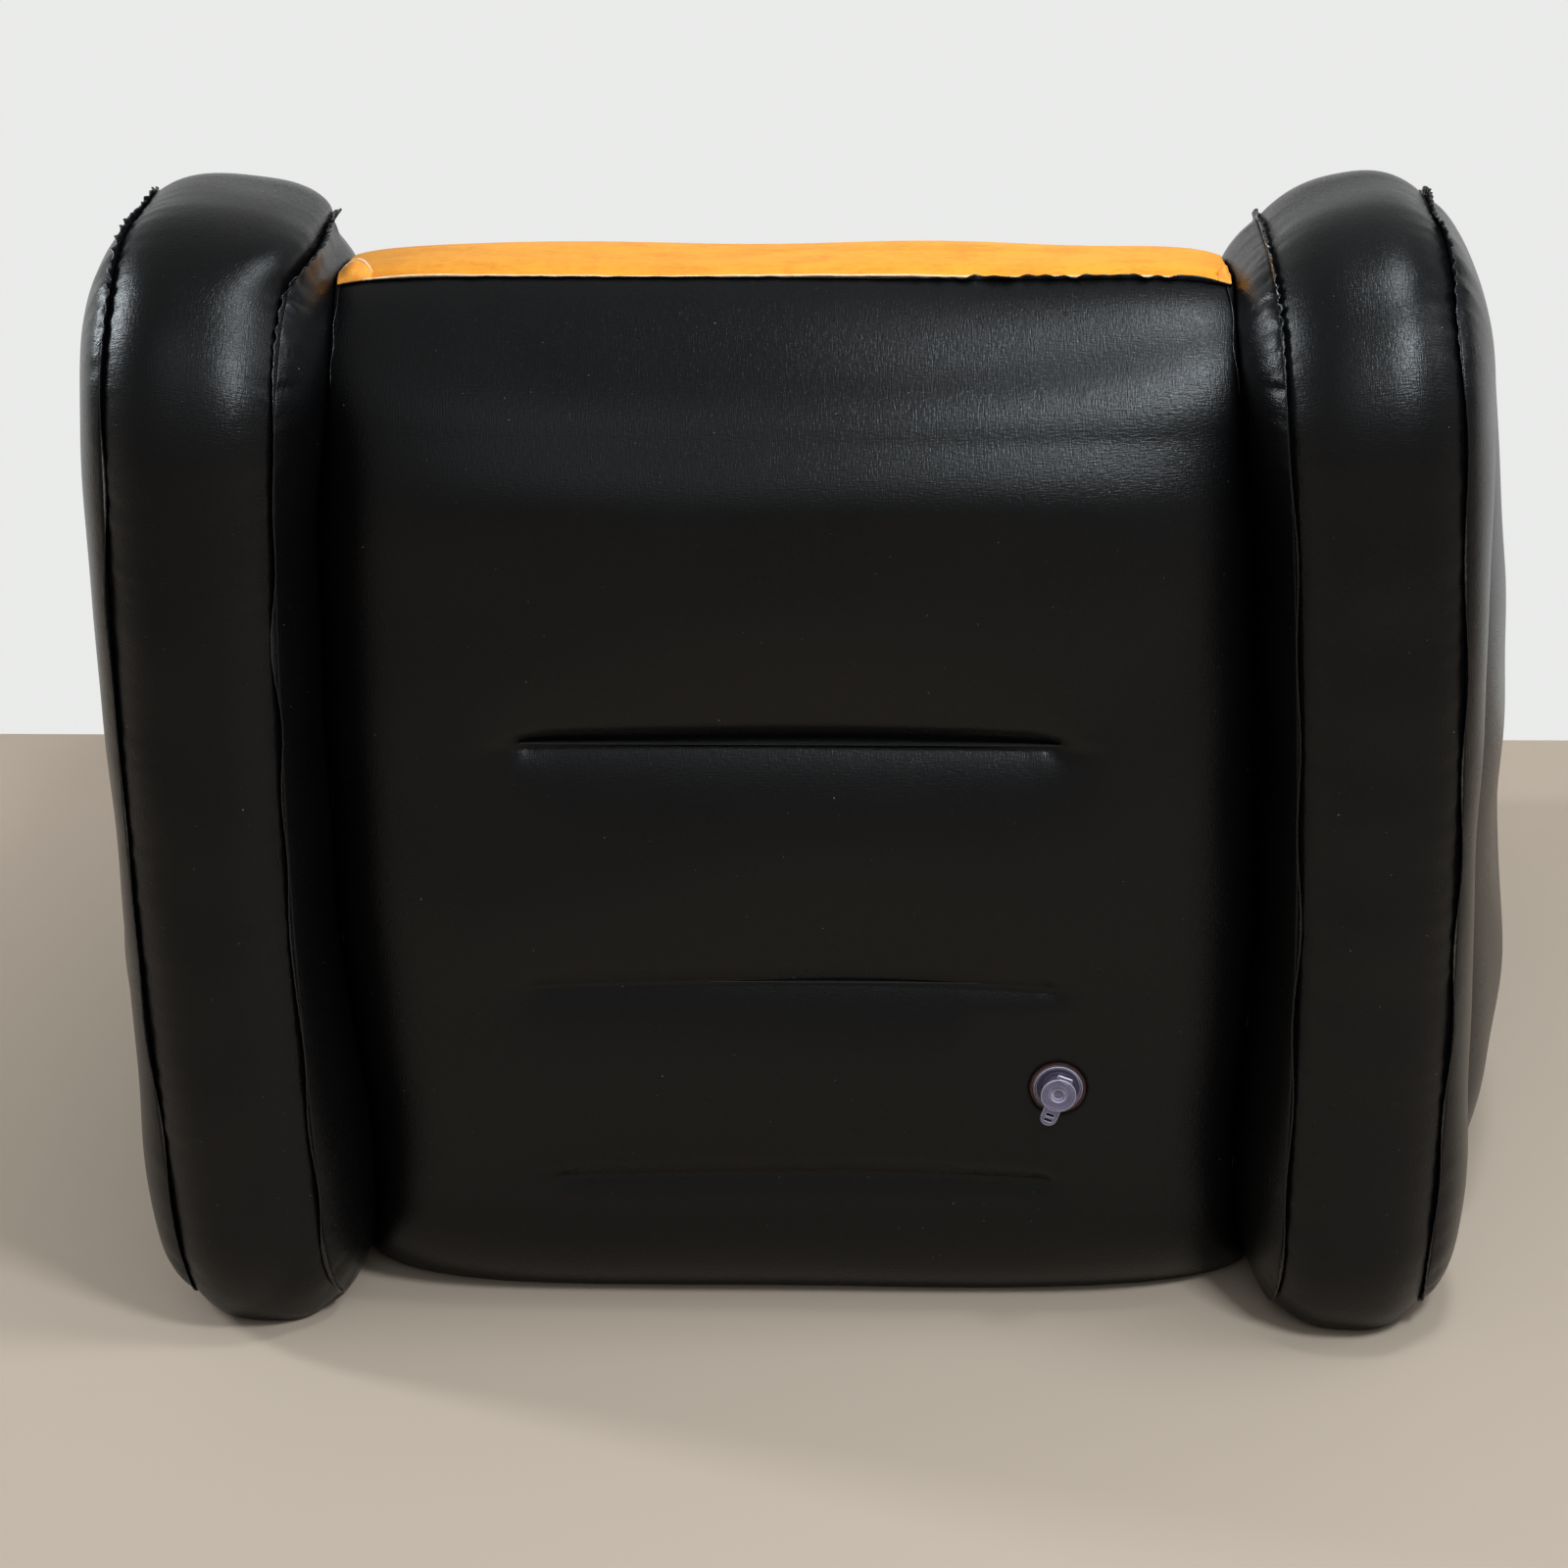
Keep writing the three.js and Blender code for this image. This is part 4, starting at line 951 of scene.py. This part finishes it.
def body_panel(start, end, rows, first, last, grooves, peak, seed):
    """Grid of a panel swept along the section from start to end, inflated and slightly uneven."""
    places = np.linspace(start, end, rows)
    points = body.at(places)[0]
    half = np.array([reach(y, z) for y, z in points]) + side_overlap
    groove_rows = list(grooves(points))
    s, share = np.meshgrid(places, body_shares, indexing="ij")
    inner_rows = smooth(np.minimum(s - start, end - s) / groove_arch_reach)
    for row, _, _ in groove_rows:
        arch = -groove_arch * np.minimum(1, (share / GROOVE_HALF_SHARE) ** 2) * inner_rows
        s = s + arch * np.exp(-(((s - places[row]) / groove_arch_reach) ** 2))
    sections, out = body.at(s)
    half = np.interp(s, places, half)
    x = half * share
    flat = stacked(x, sections[..., 0], sections[..., 1])
    held = np.full(x.shape, np.nan)
    held[0], held[-1] = across_swell(first), across_swell(last)
    held[:, [0, -1]] = 0
    for row, swell, _ in groove_rows:
        held[row, np.abs(body_shares) <= GROOVE_HALF_SHARE] = swell
    free = smooth((top_seam_z - sections[..., 1]) / top_fade_height)
    rise = lerp(across_swell(top_seam_swell)[None], swell_of(flat, held, peak), free)
    for row, _, deep in groove_rows:
        end_x = GROOVE_HALF_SHARE * half[row].mean() + groove_end_beyond
        rise = rise - deep * weld_groove(s - s[row][None], x, end_x)
    inside = 1 - np.exp(-half * (1 - np.abs(share)) / side_fade)
    uneven = waves(s, *body_wave_lengths, 14, seed, share * usual_half_width)
    rise = rise + body_wave_height * uneven * inside
    grid = flat + stacked(0, out[..., 0], out[..., 1]) * rise[..., None]
    grid[..., 2] = np.maximum(grid[..., 2], 0)
    return grid, np.stack((x, s), -1)


# What a place counts for when it isn't on the face that a groove lies on: further than any other
OFF_FACE = 2
back_face_top = 0.6
seat_face_margin = 0.01


def back_grooves(points):
    """The grid row of each weld groove, its swell and its share of the depth."""
    for height_share, swell_share, deep in BACK_GROOVES:
        near = np.abs(points[:, 1] - height_share * body_top) + OFF_FACE * (points[:, 1] > back_face_top)
        yield int(near.argmin()), swell_share * back_swell, deep


def seat_grooves(points):
    for share in SEAT_GROOVE_SHARES:
        y = lerp(crease_y, seat_front_y, share)
        near = np.abs(points[:, 0] - y) + OFF_FACE * (points[:, 1] < seat_height - seat_face_margin)
        yield int(near.argmin()), SEAT_GROOVE_SWELL_SHARE * seat_swell, SEAT_GROOVE_DEPTH_SHARE


def no_grooves(points):
    return []


def open_valve_hole(grid):
    """Flattens the panel round the valve, draws a loop of its grid onto the hole's edge, and says
    which faces stay."""
    offset = np.stack((grid[..., 0] - valve_x, grid[..., 2] - valve_z), -1)
    share = 1 - smooth((np.abs(offset).max(-1) - flat_half_width) / flat_blend_width)
    grid[..., 1] = lerp(grid[..., 1], valve_face_y, share)
    gaps = (offset**2).sum(-1)
    row, column = np.unravel_index(gaps.argmin(), gaps.shape)
    i, j = np.meshgrid(np.arange(grid.shape[0]) - row, np.arange(grid.shape[1]) - column, indexing="ij")
    ring = np.maximum(np.abs(i), np.abs(j))
    radius = np.maximum(np.linalg.norm(offset, axis=2), 1e-9)
    weight = 1 - smooth((ring - HOLE_STEPS) / (WARP_STEPS - HOLE_STEPS))
    moved = offset * (lerp(radius, hole_radius * ring / HOLE_STEPS, weight) / radius)[..., None]
    near = ring <= WARP_STEPS
    grid[near, 0] = valve_x + moved[near, 0]
    grid[near, 2] = valve_z + moved[near, 1]
    inside = (ring[:-1, :-1] < HOLE_STEPS) | (ring[1:, 1:] < HOLE_STEPS)
    inside |= (ring[1:, :-1] < HOLE_STEPS) | (ring[:-1, 1:] < HOLE_STEPS)
    return ~inside


def flocked_cover(name, grid, uvs, outward, node):
    piece = film_sheet(name, grid, uvs, outward, flock_thickness)
    finish_piece(piece, orange_flock, replaces=[node])


back_grid, back_uvs = body_panel(
    back_start, top_seam_place, BACK_ROWS, 0, top_seam_swell, back_grooves, back_swell, 5
)
keep_faces = open_valve_hole(back_grid)
back_film = film_sheet("back_panel_film", back_grid, back_uvs, (0, 1, 0), film_thickness, keep_faces)
finish_piece(back_film, black_film, replaces=["back_panel"])

backrest_grid, backrest_uvs = body_panel(
    top_seam_place,
    crease_place,
    BACKREST_ROWS,
    top_seam_swell,
    crease_swell,
    no_grooves,
    backrest_swell,
    6,
)
flocked_cover("flocked_backrest_cover", backrest_grid, backrest_uvs, (0, -1, 1), "flocked_backrest_panel")
seat_grid, seat_uvs = body_panel(
    crease_place, seat_end, SEAT_ROWS, crease_swell, 0, seat_grooves, seat_swell, 7
)
flocked_cover("flocked_seat_cover", seat_grid, seat_uvs, (0, 0, 1), "flocked_seat_panel")

# Welds and edges of the back

top_lengths, top_heights, top_sways = (0.012, 0.06), (0.0016, 0.0036), (0.0002, 0.0008)
TOP_RAGGED_SHARES = (0.06, 0.19)
top_right_start, top_right_run = 0.05, 0.1
top_seam_setback = 0.0012
side_weld_height, side_weld_root = 0.0038, 0.001
side_weld_change, side_weld_lengths = 0.0006, (0.02, 0.2)
side_weld_sway, side_weld_sway_lengths = 0.0005, (0.02, 0.12)
cut_edge_height, cut_edge_change, cut_edge_lengths = 0.0004, 0.0002, (0.02, 0.2)
fold_gap, fold_bulge, fold_lean = 0.0012, 0.0035, 0.010
path_step, lip_step = 0.003, 0.0012
bead_radius = 0.0009


def top_seam():
    """The black weld flange under the orange edge. It stands up most on the right."""
    row = back_grid[-1]
    outward = np.array((0, top_out_y, top_out_z))
    along = np.array((0, -top_out_z, top_out_y))
    fine = np.linspace(row[0, 0], row[-1, 0], 420)
    base = np.stack([np.interp(fine, row[:, 0], row[:, k]) for k in range(3)], -1)
    right_side = smooth((-fine - top_right_start) / top_right_run)
    ragged = 1 + lerp(*TOP_RAGGED_SHARES, right_side) * waves(fine, *top_lengths, 14, 9)
    height = lerp(*top_heights, right_side) * ragged
    sway = waves(fine, *top_lengths, 12, 10) * lerp(*top_sways, right_side) - top_seam_setback
    rear = base - along * top_seam_setback
    top = rear + outward * height[:, None] + along * sway[:, None]
    piece = fin("back_top_seam_flange", rear - outward * flange_root_depth, top, along)
    finish_piece(piece, welded_edge, replaces=["back_top_seam"])


def crease_weld(name, side, seed):
    """The weld where the back panel meets an inner side panel: a thin glossy flange in the crease."""
    path, s = resampled(back_grid[8:, -1 if side > 0 else 0], path_step)
    outward = np.array((-0.5 * side, 0.85, 0.15))
    height = side_weld_height + side_weld_change * waves(s, *side_weld_lengths, 8, seed)
    top = path + outward * height[:, None]
    top[:, 0] += side_weld_sway * waves(s, *side_weld_sway_lengths, 8, seed + 1)
    root = path - outward * side_weld_root
    piece = fin(f"{name}_crease_weld", root, top, np.array((0.85, 0.5 * side, 0)))
    finish_piece(piece, welded_edge)


def corner_fold(name, side, wide, high, lip_material):
    """The corner of the flocked sheet, welded up against the wing: a rounded fold with a lip."""
    row = backrest_grid[0]
    order = np.argsort(row[:, 0])
    edge_x = row[-1 if side > 0 else 0, 0]
    u, v = np.meshgrid(np.linspace(0, 1, 25), np.linspace(0, 1, 13), indexing="ij")
    x = edge_x - side * wide * u
    base_y, base_z = [np.interp(x, row[order, 0], row[order, k]) for k in (1, 2)]
    rise = high * (1 - u**2.2) ** 0.6 * (0.45 + 0.55 * smooth(u / 0.5))
    bulge = fold_bulge * np.sin(math.pi * v) * (1 - u)
    grid = np.stack((x, base_y + fold_gap + bulge - fold_lean * v, base_z + rise * v), -1)
    uvs = np.stack((u * wide, v * high), -1)
    patch = film_sheet(f"{name}_corner_fold", grid, uvs, (0, 1, 0.3), flock_thickness)
    finish_piece(patch, fold_flock)
    path, _ = resampled(grid[:, -1], lip_step)
    bead(f"{name}_corner_lip", path, bead_radius, lip_material)


def cut_edge():
    """The pale cut edge of the flocked film, above the top seam."""
    path, s = resampled(backrest_grid[0, 3:-3], path_step)
    height = cut_edge_height + cut_edge_change * waves(s, *cut_edge_lengths, 8, 21)
    path = path + np.array((0, top_out_y, top_out_z)) * height[:, None]
    bead("flock_cut_edge", path, bead_radius, pale_edge)


top_seam()
crease_weld("left", 1, 201)
corner_fold("left", 1, 0.024, 0.015, pale_edge)
crease_weld("right", -1, 211)
corner_fold("right", -1, 0.009, 0.012, fold_flock)
cut_edge()

# Air valve, in millimetres in its own frame: x towards the strap, z out of the back panel

MM = 0.001
STRAP_DIRECTION_DEG = 70
ring_outer, ring_inner, ring_height = 16.8, 15.0, 1.5
ring_taper = 0.3
flange_radius, flange_top, flange_depth = 29.0, -0.7, 0.8
weld_outer, weld_height, weld_lift, weld_taper = 19.4, 0.5, 0.1, 0.3
weld_inner_gap, weld_crown = 0.4, 0.2
bellows_foot, bellows_foot_z = 16.6, 1.8
bellows_neck, bellows_height, bellows_wall = 10.9, 6.4, 0.6
BELLOWS_STEPS = 3
BELLOWS_TREAD_LEAN, BELLOWS_RISER_SHARE = 0.25, 0.8
stem_outer, bore_radius, stem_top, stem_bottom = 10.4, 6.4, 10.0, -3.4
throat_radius, throat_length = 4.6, 1.2
stopper_radius, stopper_thickness, stopper_gap = 12.2, 2.2, 0.3
plug_top, plug_foot, plug_length = 6.0, 5.2, 4.0
dimple_radius, dimple_floor, dimple_taper = 4.6, 1.0, 0.8
hinge_reach, strap_width, strap_thickness = 13.8, 10.6, 1.2
strap_end_gap = 0.1
lug_root, lug_end_gap, lug_drop, lug_thickness = 1.2, 0.3, 0.7, 0.6
web_drop, web_end_gap, web_inset, web_thickness = 0.4, 0.3, 0.3, 0.5
WEB_BULGE_SHARE = 0.55
rib_inset, rib_far, rib_near, rib_sink, rib_thickness = 1.6, 3.9, 2.3, 0.5, 0.65
RIB_SLANT = 0.2
tab_width, tab_reach, tab_thickness = 11.6, 24.5, 1.2
slot_length, slot_width, slot_pitch, slot_middle = 6.4, 2.3, 4.0, 18.4
plate_overlap = 0.4
flap_radius, flap_thickness, flap_reach, flap_width = 7.0, 0.8, 8.6, 5.0
flap_gap, tongue_overlap = 0.3, 0.6
edge_round, fine_round = 0.45, 0.2
LATHE_SIDES = 96
stopper_low = stem_top + stopper_gap
flap_low = stem_bottom - flap_gap - flap_thickness

valve_turn = math.radians(STRAP_DIRECTION_DEG)
valve_axis = np.array((0.0, 1.0, 0.0))
valve_strap = np.array((-math.cos(valve_turn), 0.0, math.sin(valve_turn)))
valve_side = np.cross(valve_axis, valve_strap)
valve_origin = np.array((valve_x, valve_face_y, valve_z))


def in_valve(points):
    """Turns places in the valve's own frame into places in the scene."""
    p = np.asarray(points, float) * MM
    return valve_origin + p[..., :1] * valve_strap + p[..., 1:2] * valve_side + p[..., 2:] * valve_axis


def rounded_profile(corners, radius):
    """A profile of radius and height whose corners are cut twice, for soft edges.
    The third number of a point says whether a cut edge starts there."""
    points = []
    for i, corner in enumerate(corners):
        here = np.array(corner, float)
        if corner[0] == 0:
            points.append((*here, False))
            continue
        before = np.array(corners[i - 1], float) - here
        after = np.array(corners[(i + 1) % len(corners)], float) - here
        cut = min(radius, 0.4 * np.linalg.norm(before), 0.4 * np.linalg.norm(after))
        start, end = here + unit(before) * cut, here + unit(after) * cut
        middle = (start + end) / 4 + here / 2
        points += [(*start, True), (*middle, True), (*end, False)]
    return points


def lathe(name, profile):
    """Turns a profile of radius and height round the valve's axis. A profile that starts and ends on
    the axis isn't joined up there."""
    turn = np.arange(LATHE_SIDES) * 2 * math.pi / LATHE_SIDES
    vertices, rings = [], []
    for radius, height, _ in profile:
        if radius == 0:
            rings.append([len(vertices)] * LATHE_SIDES)
            vertices.append((0, 0, height))
        else:
            rings.append(list(range(len(vertices), len(vertices) + LATHE_SIDES)))
            vertices += [(radius * math.cos(t), radius * math.sin(t), height) for t in turn]
    faces, edges = [], []
    for (_, _, cut), a, b in zip(profile, rings, rings[1:] + rings[:1]):
        if a[0] == a[-1] and b[0] == b[-1]:
            continue
        for i in range(LATHE_SIDES):
            n = (i + 1) % LATHE_SIDES
            faces.append(tuple(dict.fromkeys((a[i], b[i], b[n], a[n]))))
            edges.append(int(cut))
    piece = smooth_mesh(name, in_valve(vertices), faces)
    piece.data.polygons.foreach_set("material_index", edges)
    fix_normals(piece)
    piece.modifiers.new("level faces", "WEIGHTED_NORMAL").keep_sharp = True
    return piece


def arc(centre_x, centre_y, radius, start, end, steps=10):
    turns = np.linspace(math.radians(start), math.radians(end), steps)
    return [(centre_x + radius * math.cos(t), centre_y + radius * math.sin(t)) for t in turns]


def slot_outline(middle, width, length):
    """A rounded slot across the tab."""
    r = width / 2
    straight = length / 2 - r
    return arc(middle, straight, r, 0, 180) + arc(middle, -straight, r, 180, 360)


def strip_outline(start, end, half, slant=0.0):
    """Four corners from start to end along the strap, half wide to each side."""
    return [(x + slant * y, y) for x, y in ((start, -half), (end, -half), (end, half), (start, half))]


def plate(name, outline, low, thickness, holes):
    """A flat plate with rounded edges from an outline, with holes."""
    edge = min(edge_round, 0.36 * thickness)
    curve = bpy.data.curves.new(name, "CURVE")
    curve.dimensions = "2D"
    curve.fill_mode = "BOTH"
    curve.extrude = thickness / 2 - edge
    curve.bevel_depth = edge
    curve.bevel_resolution = 2
    curve.offset = -edge
    for points in (outline, *holes):
        spline = curve.splines.new("POLY")
        spline.points.add(len(points) - 1)
        for point, (x, y) in zip(spline.points, points):
            point.co = (x, y, 0, 1)
        spline.use_cyclic_u = True
    holder = bpy.data.objects.new(name, curve)
    mesh = bpy.data.meshes.new_from_object(holder)
    bpy.data.objects.remove(holder)
    places = np.array([v.co[:] for v in mesh.vertices])
    places[:, 2] += low + thickness / 2
    faces = [tuple(p.vertices) for p in mesh.polygons]
    bpy.data.meshes.remove(mesh)
    piece = smooth_mesh(name, in_valve(places), faces)
    fix_normals(piece)
    for face in piece.data.polygons:
        flat = abs(float(np.array(face.normal) @ valve_axis)) > 0.9
        face.use_smooth = not flat
        face.material_index = 0 if flat else 1
    return piece


# A turned part's cut edges get the rim material. By default this is the pale one, which paints a highlight
# on them.
def turned_part(name, corners, material, body, replaces=(), rim=painted_highlight_rim, rounding=edge_round):
    piece = lathe(name, rounded_profile(corners, rounding))
    return finish_piece(piece, material, body, replaces, rim)


# A flat part's rounded edges get the pale rim material, as a painted highlight.
def flat_part(name, outline, low, thickness, material, body, holes=()):
    piece = plate(name, outline, low, thickness, holes)
    finish_piece(piece, material, body, edge=painted_highlight_rim)


def build_flange():
    """The clear flange behind the panel with its ring, and the dark red weld round the ring."""
    low = flange_top - flange_depth
    corners = [(flange_radius, low), (flange_radius, flange_top), (ring_outer + ring_taper, flange_top)]
    corners += [(ring_outer, ring_height), (ring_inner, ring_height), (ring_inner, low)]
    turned_part("valve_flange_ring", corners, clear_plastic, "chair", ["valve_flange"])
    low = flange_top + weld_lift
    high = low + weld_height
    inner = ring_outer + weld_inner_gap
    corners = [(weld_outer, low), (weld_outer - weld_taper, high)]
    corners += [(inner + weld_taper, high + weld_crown), (inner, low)]
    turned_part("valve_weld_ring", corners, weld_ring_plastic, "chair", rim=weld_ring_plastic)


def build_bellows():
    """The stepped cone: treads that lean out and steep risers, then the same profile a wall further in."""
    rise = bellows_height / BELLOWS_STEPS
    run = (bellows_foot - bellows_neck) / BELLOWS_STEPS
    outer = [(bellows_foot, bellows_foot_z)]
    for k in range(BELLOWS_STEPS):
        radius = bellows_foot - k * run
        height = bellows_foot_z + k * rise
        outer.append((radius - BELLOWS_TREAD_LEAN * run, height + BELLOWS_RISER_SHARE * rise))
        outer.append((radius - run, height + rise))
    inner = [(radius - bellows_wall, height - 0.3 * bellows_wall) for radius, height in outer]
    cone = turned_part(
        "valve_bellows_cone",
        outer + inner[::-1],
        clear_plastic,
        "chair",
        ["valve_bellows"],
        clear_plastic,
        fine_round,
    )
    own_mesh(cone)


def build_stem():
    """The stem with its throat, and the lug that carries the stopper's hinge."""
    corners = [(stem_outer, stem_bottom), (stem_outer, stem_top), (bore_radius, stem_top)]
    throat_top = stem_bottom + throat_length
    corners += [(bore_radius, throat_top), (throat_radius, throat_top), (throat_radius, stem_bottom)]
    turned_part("valve_stem_tube", corners, clear_plastic, "stem", ["valve_stem"])
    outline = strip_outline(stem_outer - lug_root, hinge_reach - lug_end_gap, strap_width / 2)
    flat_part("valve_stem_lug", outline, stem_top - lug_drop, lug_thickness, clear_plastic, "stem")


def build_stopper():
    """Cap, plug, dimple, strap, hinge rib and slotted pull tab of the stopper."""
    high = stopper_low + stopper_thickness
    plug_bottom = stopper_low - plug_length
    dimple_bottom = stopper_low + dimple_floor - plug_length / 3
    corners = [(0, plug_bottom), (plug_foot, plug_bottom), (plug_top, stopper_low)]
    corners += [(stopper_radius, stopper_low), (stopper_radius, high), (dimple_radius, high)]
    corners += [(dimple_radius - dimple_taper, dimple_bottom), (0, dimple_bottom)]
    turned_part("valve_stopper_cap", corners, stopper_plastic, "stopper", ["valve_stopper"])
    half = strap_width / 2
    start = math.sqrt(stopper_radius**2 - half**2) - plate_overlap
    outline = strip_outline(start, hinge_reach - strap_end_gap, half)
    flat_part("valve_strap", outline, stopper_low, strap_thickness, stopper_plastic, "stopper")
    outline = strip_outline(hinge_reach - rib_far, hinge_reach - rib_near, half - rib_inset, RIB_SLANT)
    rib_low = stopper_low + strap_thickness - rib_sink
    # The hinge rib is all pale rim material: a painted highlight for the bright bar at the strap's fold.
    flat_part("valve_hinge_rib", outline, rib_low, rib_thickness, painted_highlight_rim, "stopper")
    r = tab_width / 2
    inner = plate_overlap - math.sqrt(stopper_radius**2 - r**2)
    outline = [(inner, r), *arc(r - tab_reach, 0, r, 90, 270, 24), (inner, -r)]
    middles = [slot_pitch / 2 - slot_middle, -slot_pitch / 2 - slot_middle]
    slots = [slot_outline(middle, slot_width, slot_length) for middle in middles]
    flat_part("valve_pull_tab", outline, stopper_low, tab_thickness, stopper_plastic, "stopper", slots)


def build_living_hinge():
    """The thin web that joins the strap to the lug of the stem."""
    low, high = stem_top - web_drop, stopper_low + strap_thickness / 2
    middle, bulge = (low + high) / 2, (high - low) / 2
    turns = np.linspace(-math.pi / 2, math.pi / 2, 17)
    half = strap_width / 2 - web_inset
    x = hinge_reach - web_end_gap + WEB_BULGE_SHARE * bulge * np.cos(turns)
    grid = in_valve(stacked(x, np.linspace(-half, half, 9)[:, None], middle + bulge * np.sin(turns)))
    faces = grid_faces(*grid.shape[:2]).tolist()
    web = smooth_mesh("valve_living_hinge", grid.reshape(-1, 3), faces)
    thicken(web, web_thickness * MM, 0)
    # The web is all pale rim material, as a painted highlight.
    web.data.materials.append(painted_highlight_rim)
    start, end = in_valve([(hinge_reach, 0, low), (hinge_reach, 0, high)])
    tuple(start)
    tuple(end)
    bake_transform(web)


def build_flap():
    """The soft disc under the throat, and the tongue that hinges it."""
    high = flap_low + flap_thickness
    corners = [(0, flap_low), (flap_radius, flap_low), (flap_radius, high), (0, high)]
    turned_part("valve_flap_disc", corners, clear_plastic, "flap", ["valve_flap"], rounding=fine_round)
    outline = strip_outline(flap_radius - tongue_overlap, flap_reach, flap_width / 2)
    flat_part("valve_flap_tongue", outline, flap_low, flap_thickness, clear_plastic, "flap")


build_flange()
build_bellows()
build_stem()
build_stopper()
build_living_hinge()
build_flap()

# Camera: the photograph's place, behind the sofa and about 21 degrees above it
camera_place = Vector((-0.0842, 3.03, 1.417))
CAMERA_PITCH_DEG, CAMERA_YAW_DEG, CAMERA_ROLL_DEG = 21.497, 2.068, -0.495
camera_lens_mm, sensor_width_mm = 93.8, 36
camera_reach = 50


def build_camera():
    pitch, yaw, roll = map(math.radians, (CAMERA_PITCH_DEG, CAMERA_YAW_DEG, CAMERA_ROLL_DEG))
    level = math.cos(pitch)
    forward = Vector((math.sin(yaw) * level, -math.cos(yaw) * level, -math.sin(pitch)))
    sideways = forward.cross(Vector((0, 0, 1))).normalized()
    upright = sideways.cross(forward)
    right = sideways * math.cos(roll) + upright * math.sin(roll)
    up = upright * math.cos(roll) - sideways * math.sin(roll)
    data = bpy.data.cameras.new("camera")
    data.lens = camera_lens_mm
    data.sensor_width = sensor_width_mm
    data.clip_end = camera_reach
    camera = bpy.data.objects.new("camera", data)
    bpy.context.scene.collection.objects.link(camera)
    rotation = Matrix((right, up, -forward)).transposed().to_4x4()
    camera.matrix_world = Matrix.Translation(camera_place) @ rotation
    bpy.context.scene.camera = camera


build_camera()

# Studio: pale floor, pale wall behind the sofa, soft lights
floor_half = 6
wall_half, wall_y, wall_height = 3, -0.69, 0.95
floor_color = (0.53, 0.43, 0.34)
wall_color = (0.82, 0.83, 0.82)
cool_white, plain_white = (0.86, 0.94, 1.0), (1.0, 1.0, 1.0)
world_color, world_strength = (0.97, 0.985, 1.0, 1), 0.34
light_target = Vector((0, 0.3, 0.5))

# Each light: azimuth and elevation in degrees, distance, size, power in watts, colour
WINDOWS = {
    "right_window": (38, 43, 2.27, (0.44, 0.40), 32, cool_white),
    "top_window": (72, 69, 1.70, (0.36, 0.30), 12, cool_white),
    "left_window": (-104, 23, 3.0, (0.36, 0.86), 42, cool_white),
    "middle_window": (4, 41, 3.6, (2.6, 1.6), 10, cool_white),
    "side_window": (80, 33, 3.6, (0.8, 0.9), 12, cool_white),
    "ceiling": (180, 26, 4.0, (5.0, 1.6), 5, plain_white),
}


def stage_material(name, color):
    n = Nodes(name)
    n.finished(Base_Color=(*color, 1), Roughness=0.75, Specular_IOR_Level=0.2)
    return n


def wall_material():
    """Pale in the picture and in reflections, lit like any wall for the rest, and clear from behind."""
    n = stage_material("wall", wall_color)
    rays = n.add("ShaderNodeLightPath").outputs
    seen = n.math("MAXIMUM", rays["Is Camera Ray"], rays["Is Glossy Ray"])
    seen = n.math("MAXIMUM", seen, rays["Is Transmission Ray"])
    pale = n.add("ShaderNodeEmission", Color=(*wall_color, 1)).outputs[0]
    clear = n.add("ShaderNodeBsdfTransparent").outputs[0]
    behind = n.add("ShaderNodeNewGeometry").outputs["Backfacing"]
    mixed = n.shader.outputs[0]
    for share, other in ((seen, pale), (behind, clear)):
        mix = n.add("ShaderNodeMixShader")
        for k, value in enumerate((share, mixed, other)):
            n.set(mix, k, value)
        mixed = mix.outputs[0]
    n.set(n.tree.nodes["Material Output"], "Surface", mixed)
    return n.material


def stage_plane(name, corners, material):
    mesh = bpy.data.meshes.new(name)
    mesh.from_pydata(corners, [], [tuple(range(len(corners)))])
    piece = bpy.data.objects.new(name, mesh)
    bpy.context.scene.collection.objects.link(piece)
    mesh.materials.append(material)


def window(name, azimuth_deg, elevation_deg, distance, size, power, color):
    """A soft light that faces the sofa. Its azimuth goes from +Y towards -X."""
    azimuth, elevation = math.radians(azimuth_deg), math.radians(elevation_deg)
    level = math.cos(elevation)
    way = Vector((-math.sin(azimuth) * level, math.cos(azimuth) * level, math.sin(elevation)))
    data = bpy.data.lights.new(name, "AREA")
    data.shape = "RECTANGLE"
    data.size, data.size_y = size
    data.energy = power
    data.color = color
    light = bpy.data.objects.new(name, data)
    bpy.context.scene.collection.objects.link(light)
    light.location = light_target + way * distance
    light.rotation_mode = "QUATERNION"
    light.rotation_quaternion = (-way).to_track_quat("-Z", "Y")


def build_studio():
    signs = ((-1, -1), (1, -1), (1, 1), (-1, 1))
    floor_corners = [(floor_half * x, floor_half * y, 0) for x, y in signs]
    stage_plane("floor", floor_corners, stage_material("floor", floor_color).material)
    wall_corners = [(-wall_half, wall_y, z) for z in (0, wall_height)]
    wall_corners += [(wall_half, wall_y, z) for z in (wall_height, 0)]
    stage_plane("wall", wall_corners, wall_material())
    for name, values in WINDOWS.items():
        window(name, *values)
    world = bpy.data.worlds.new("studio")
    bpy.context.scene.world = world
    world.use_nodes = True
    background = world.node_tree.nodes["Background"]
    background.inputs["Color"].default_value = world_color
    background.inputs["Strength"].default_value = world_strength
    bpy.context.scene.view_settings.view_transform = "Standard"


build_studio()

for part in frame["record"]["subparts"]:
    shown_node = frame["nodes"][part["node"]]
    if not shown_node.hide_render:
        shown_node.data.materials.clear()
        shown_node.data.materials.append(node_materials[part["material_slot"]])
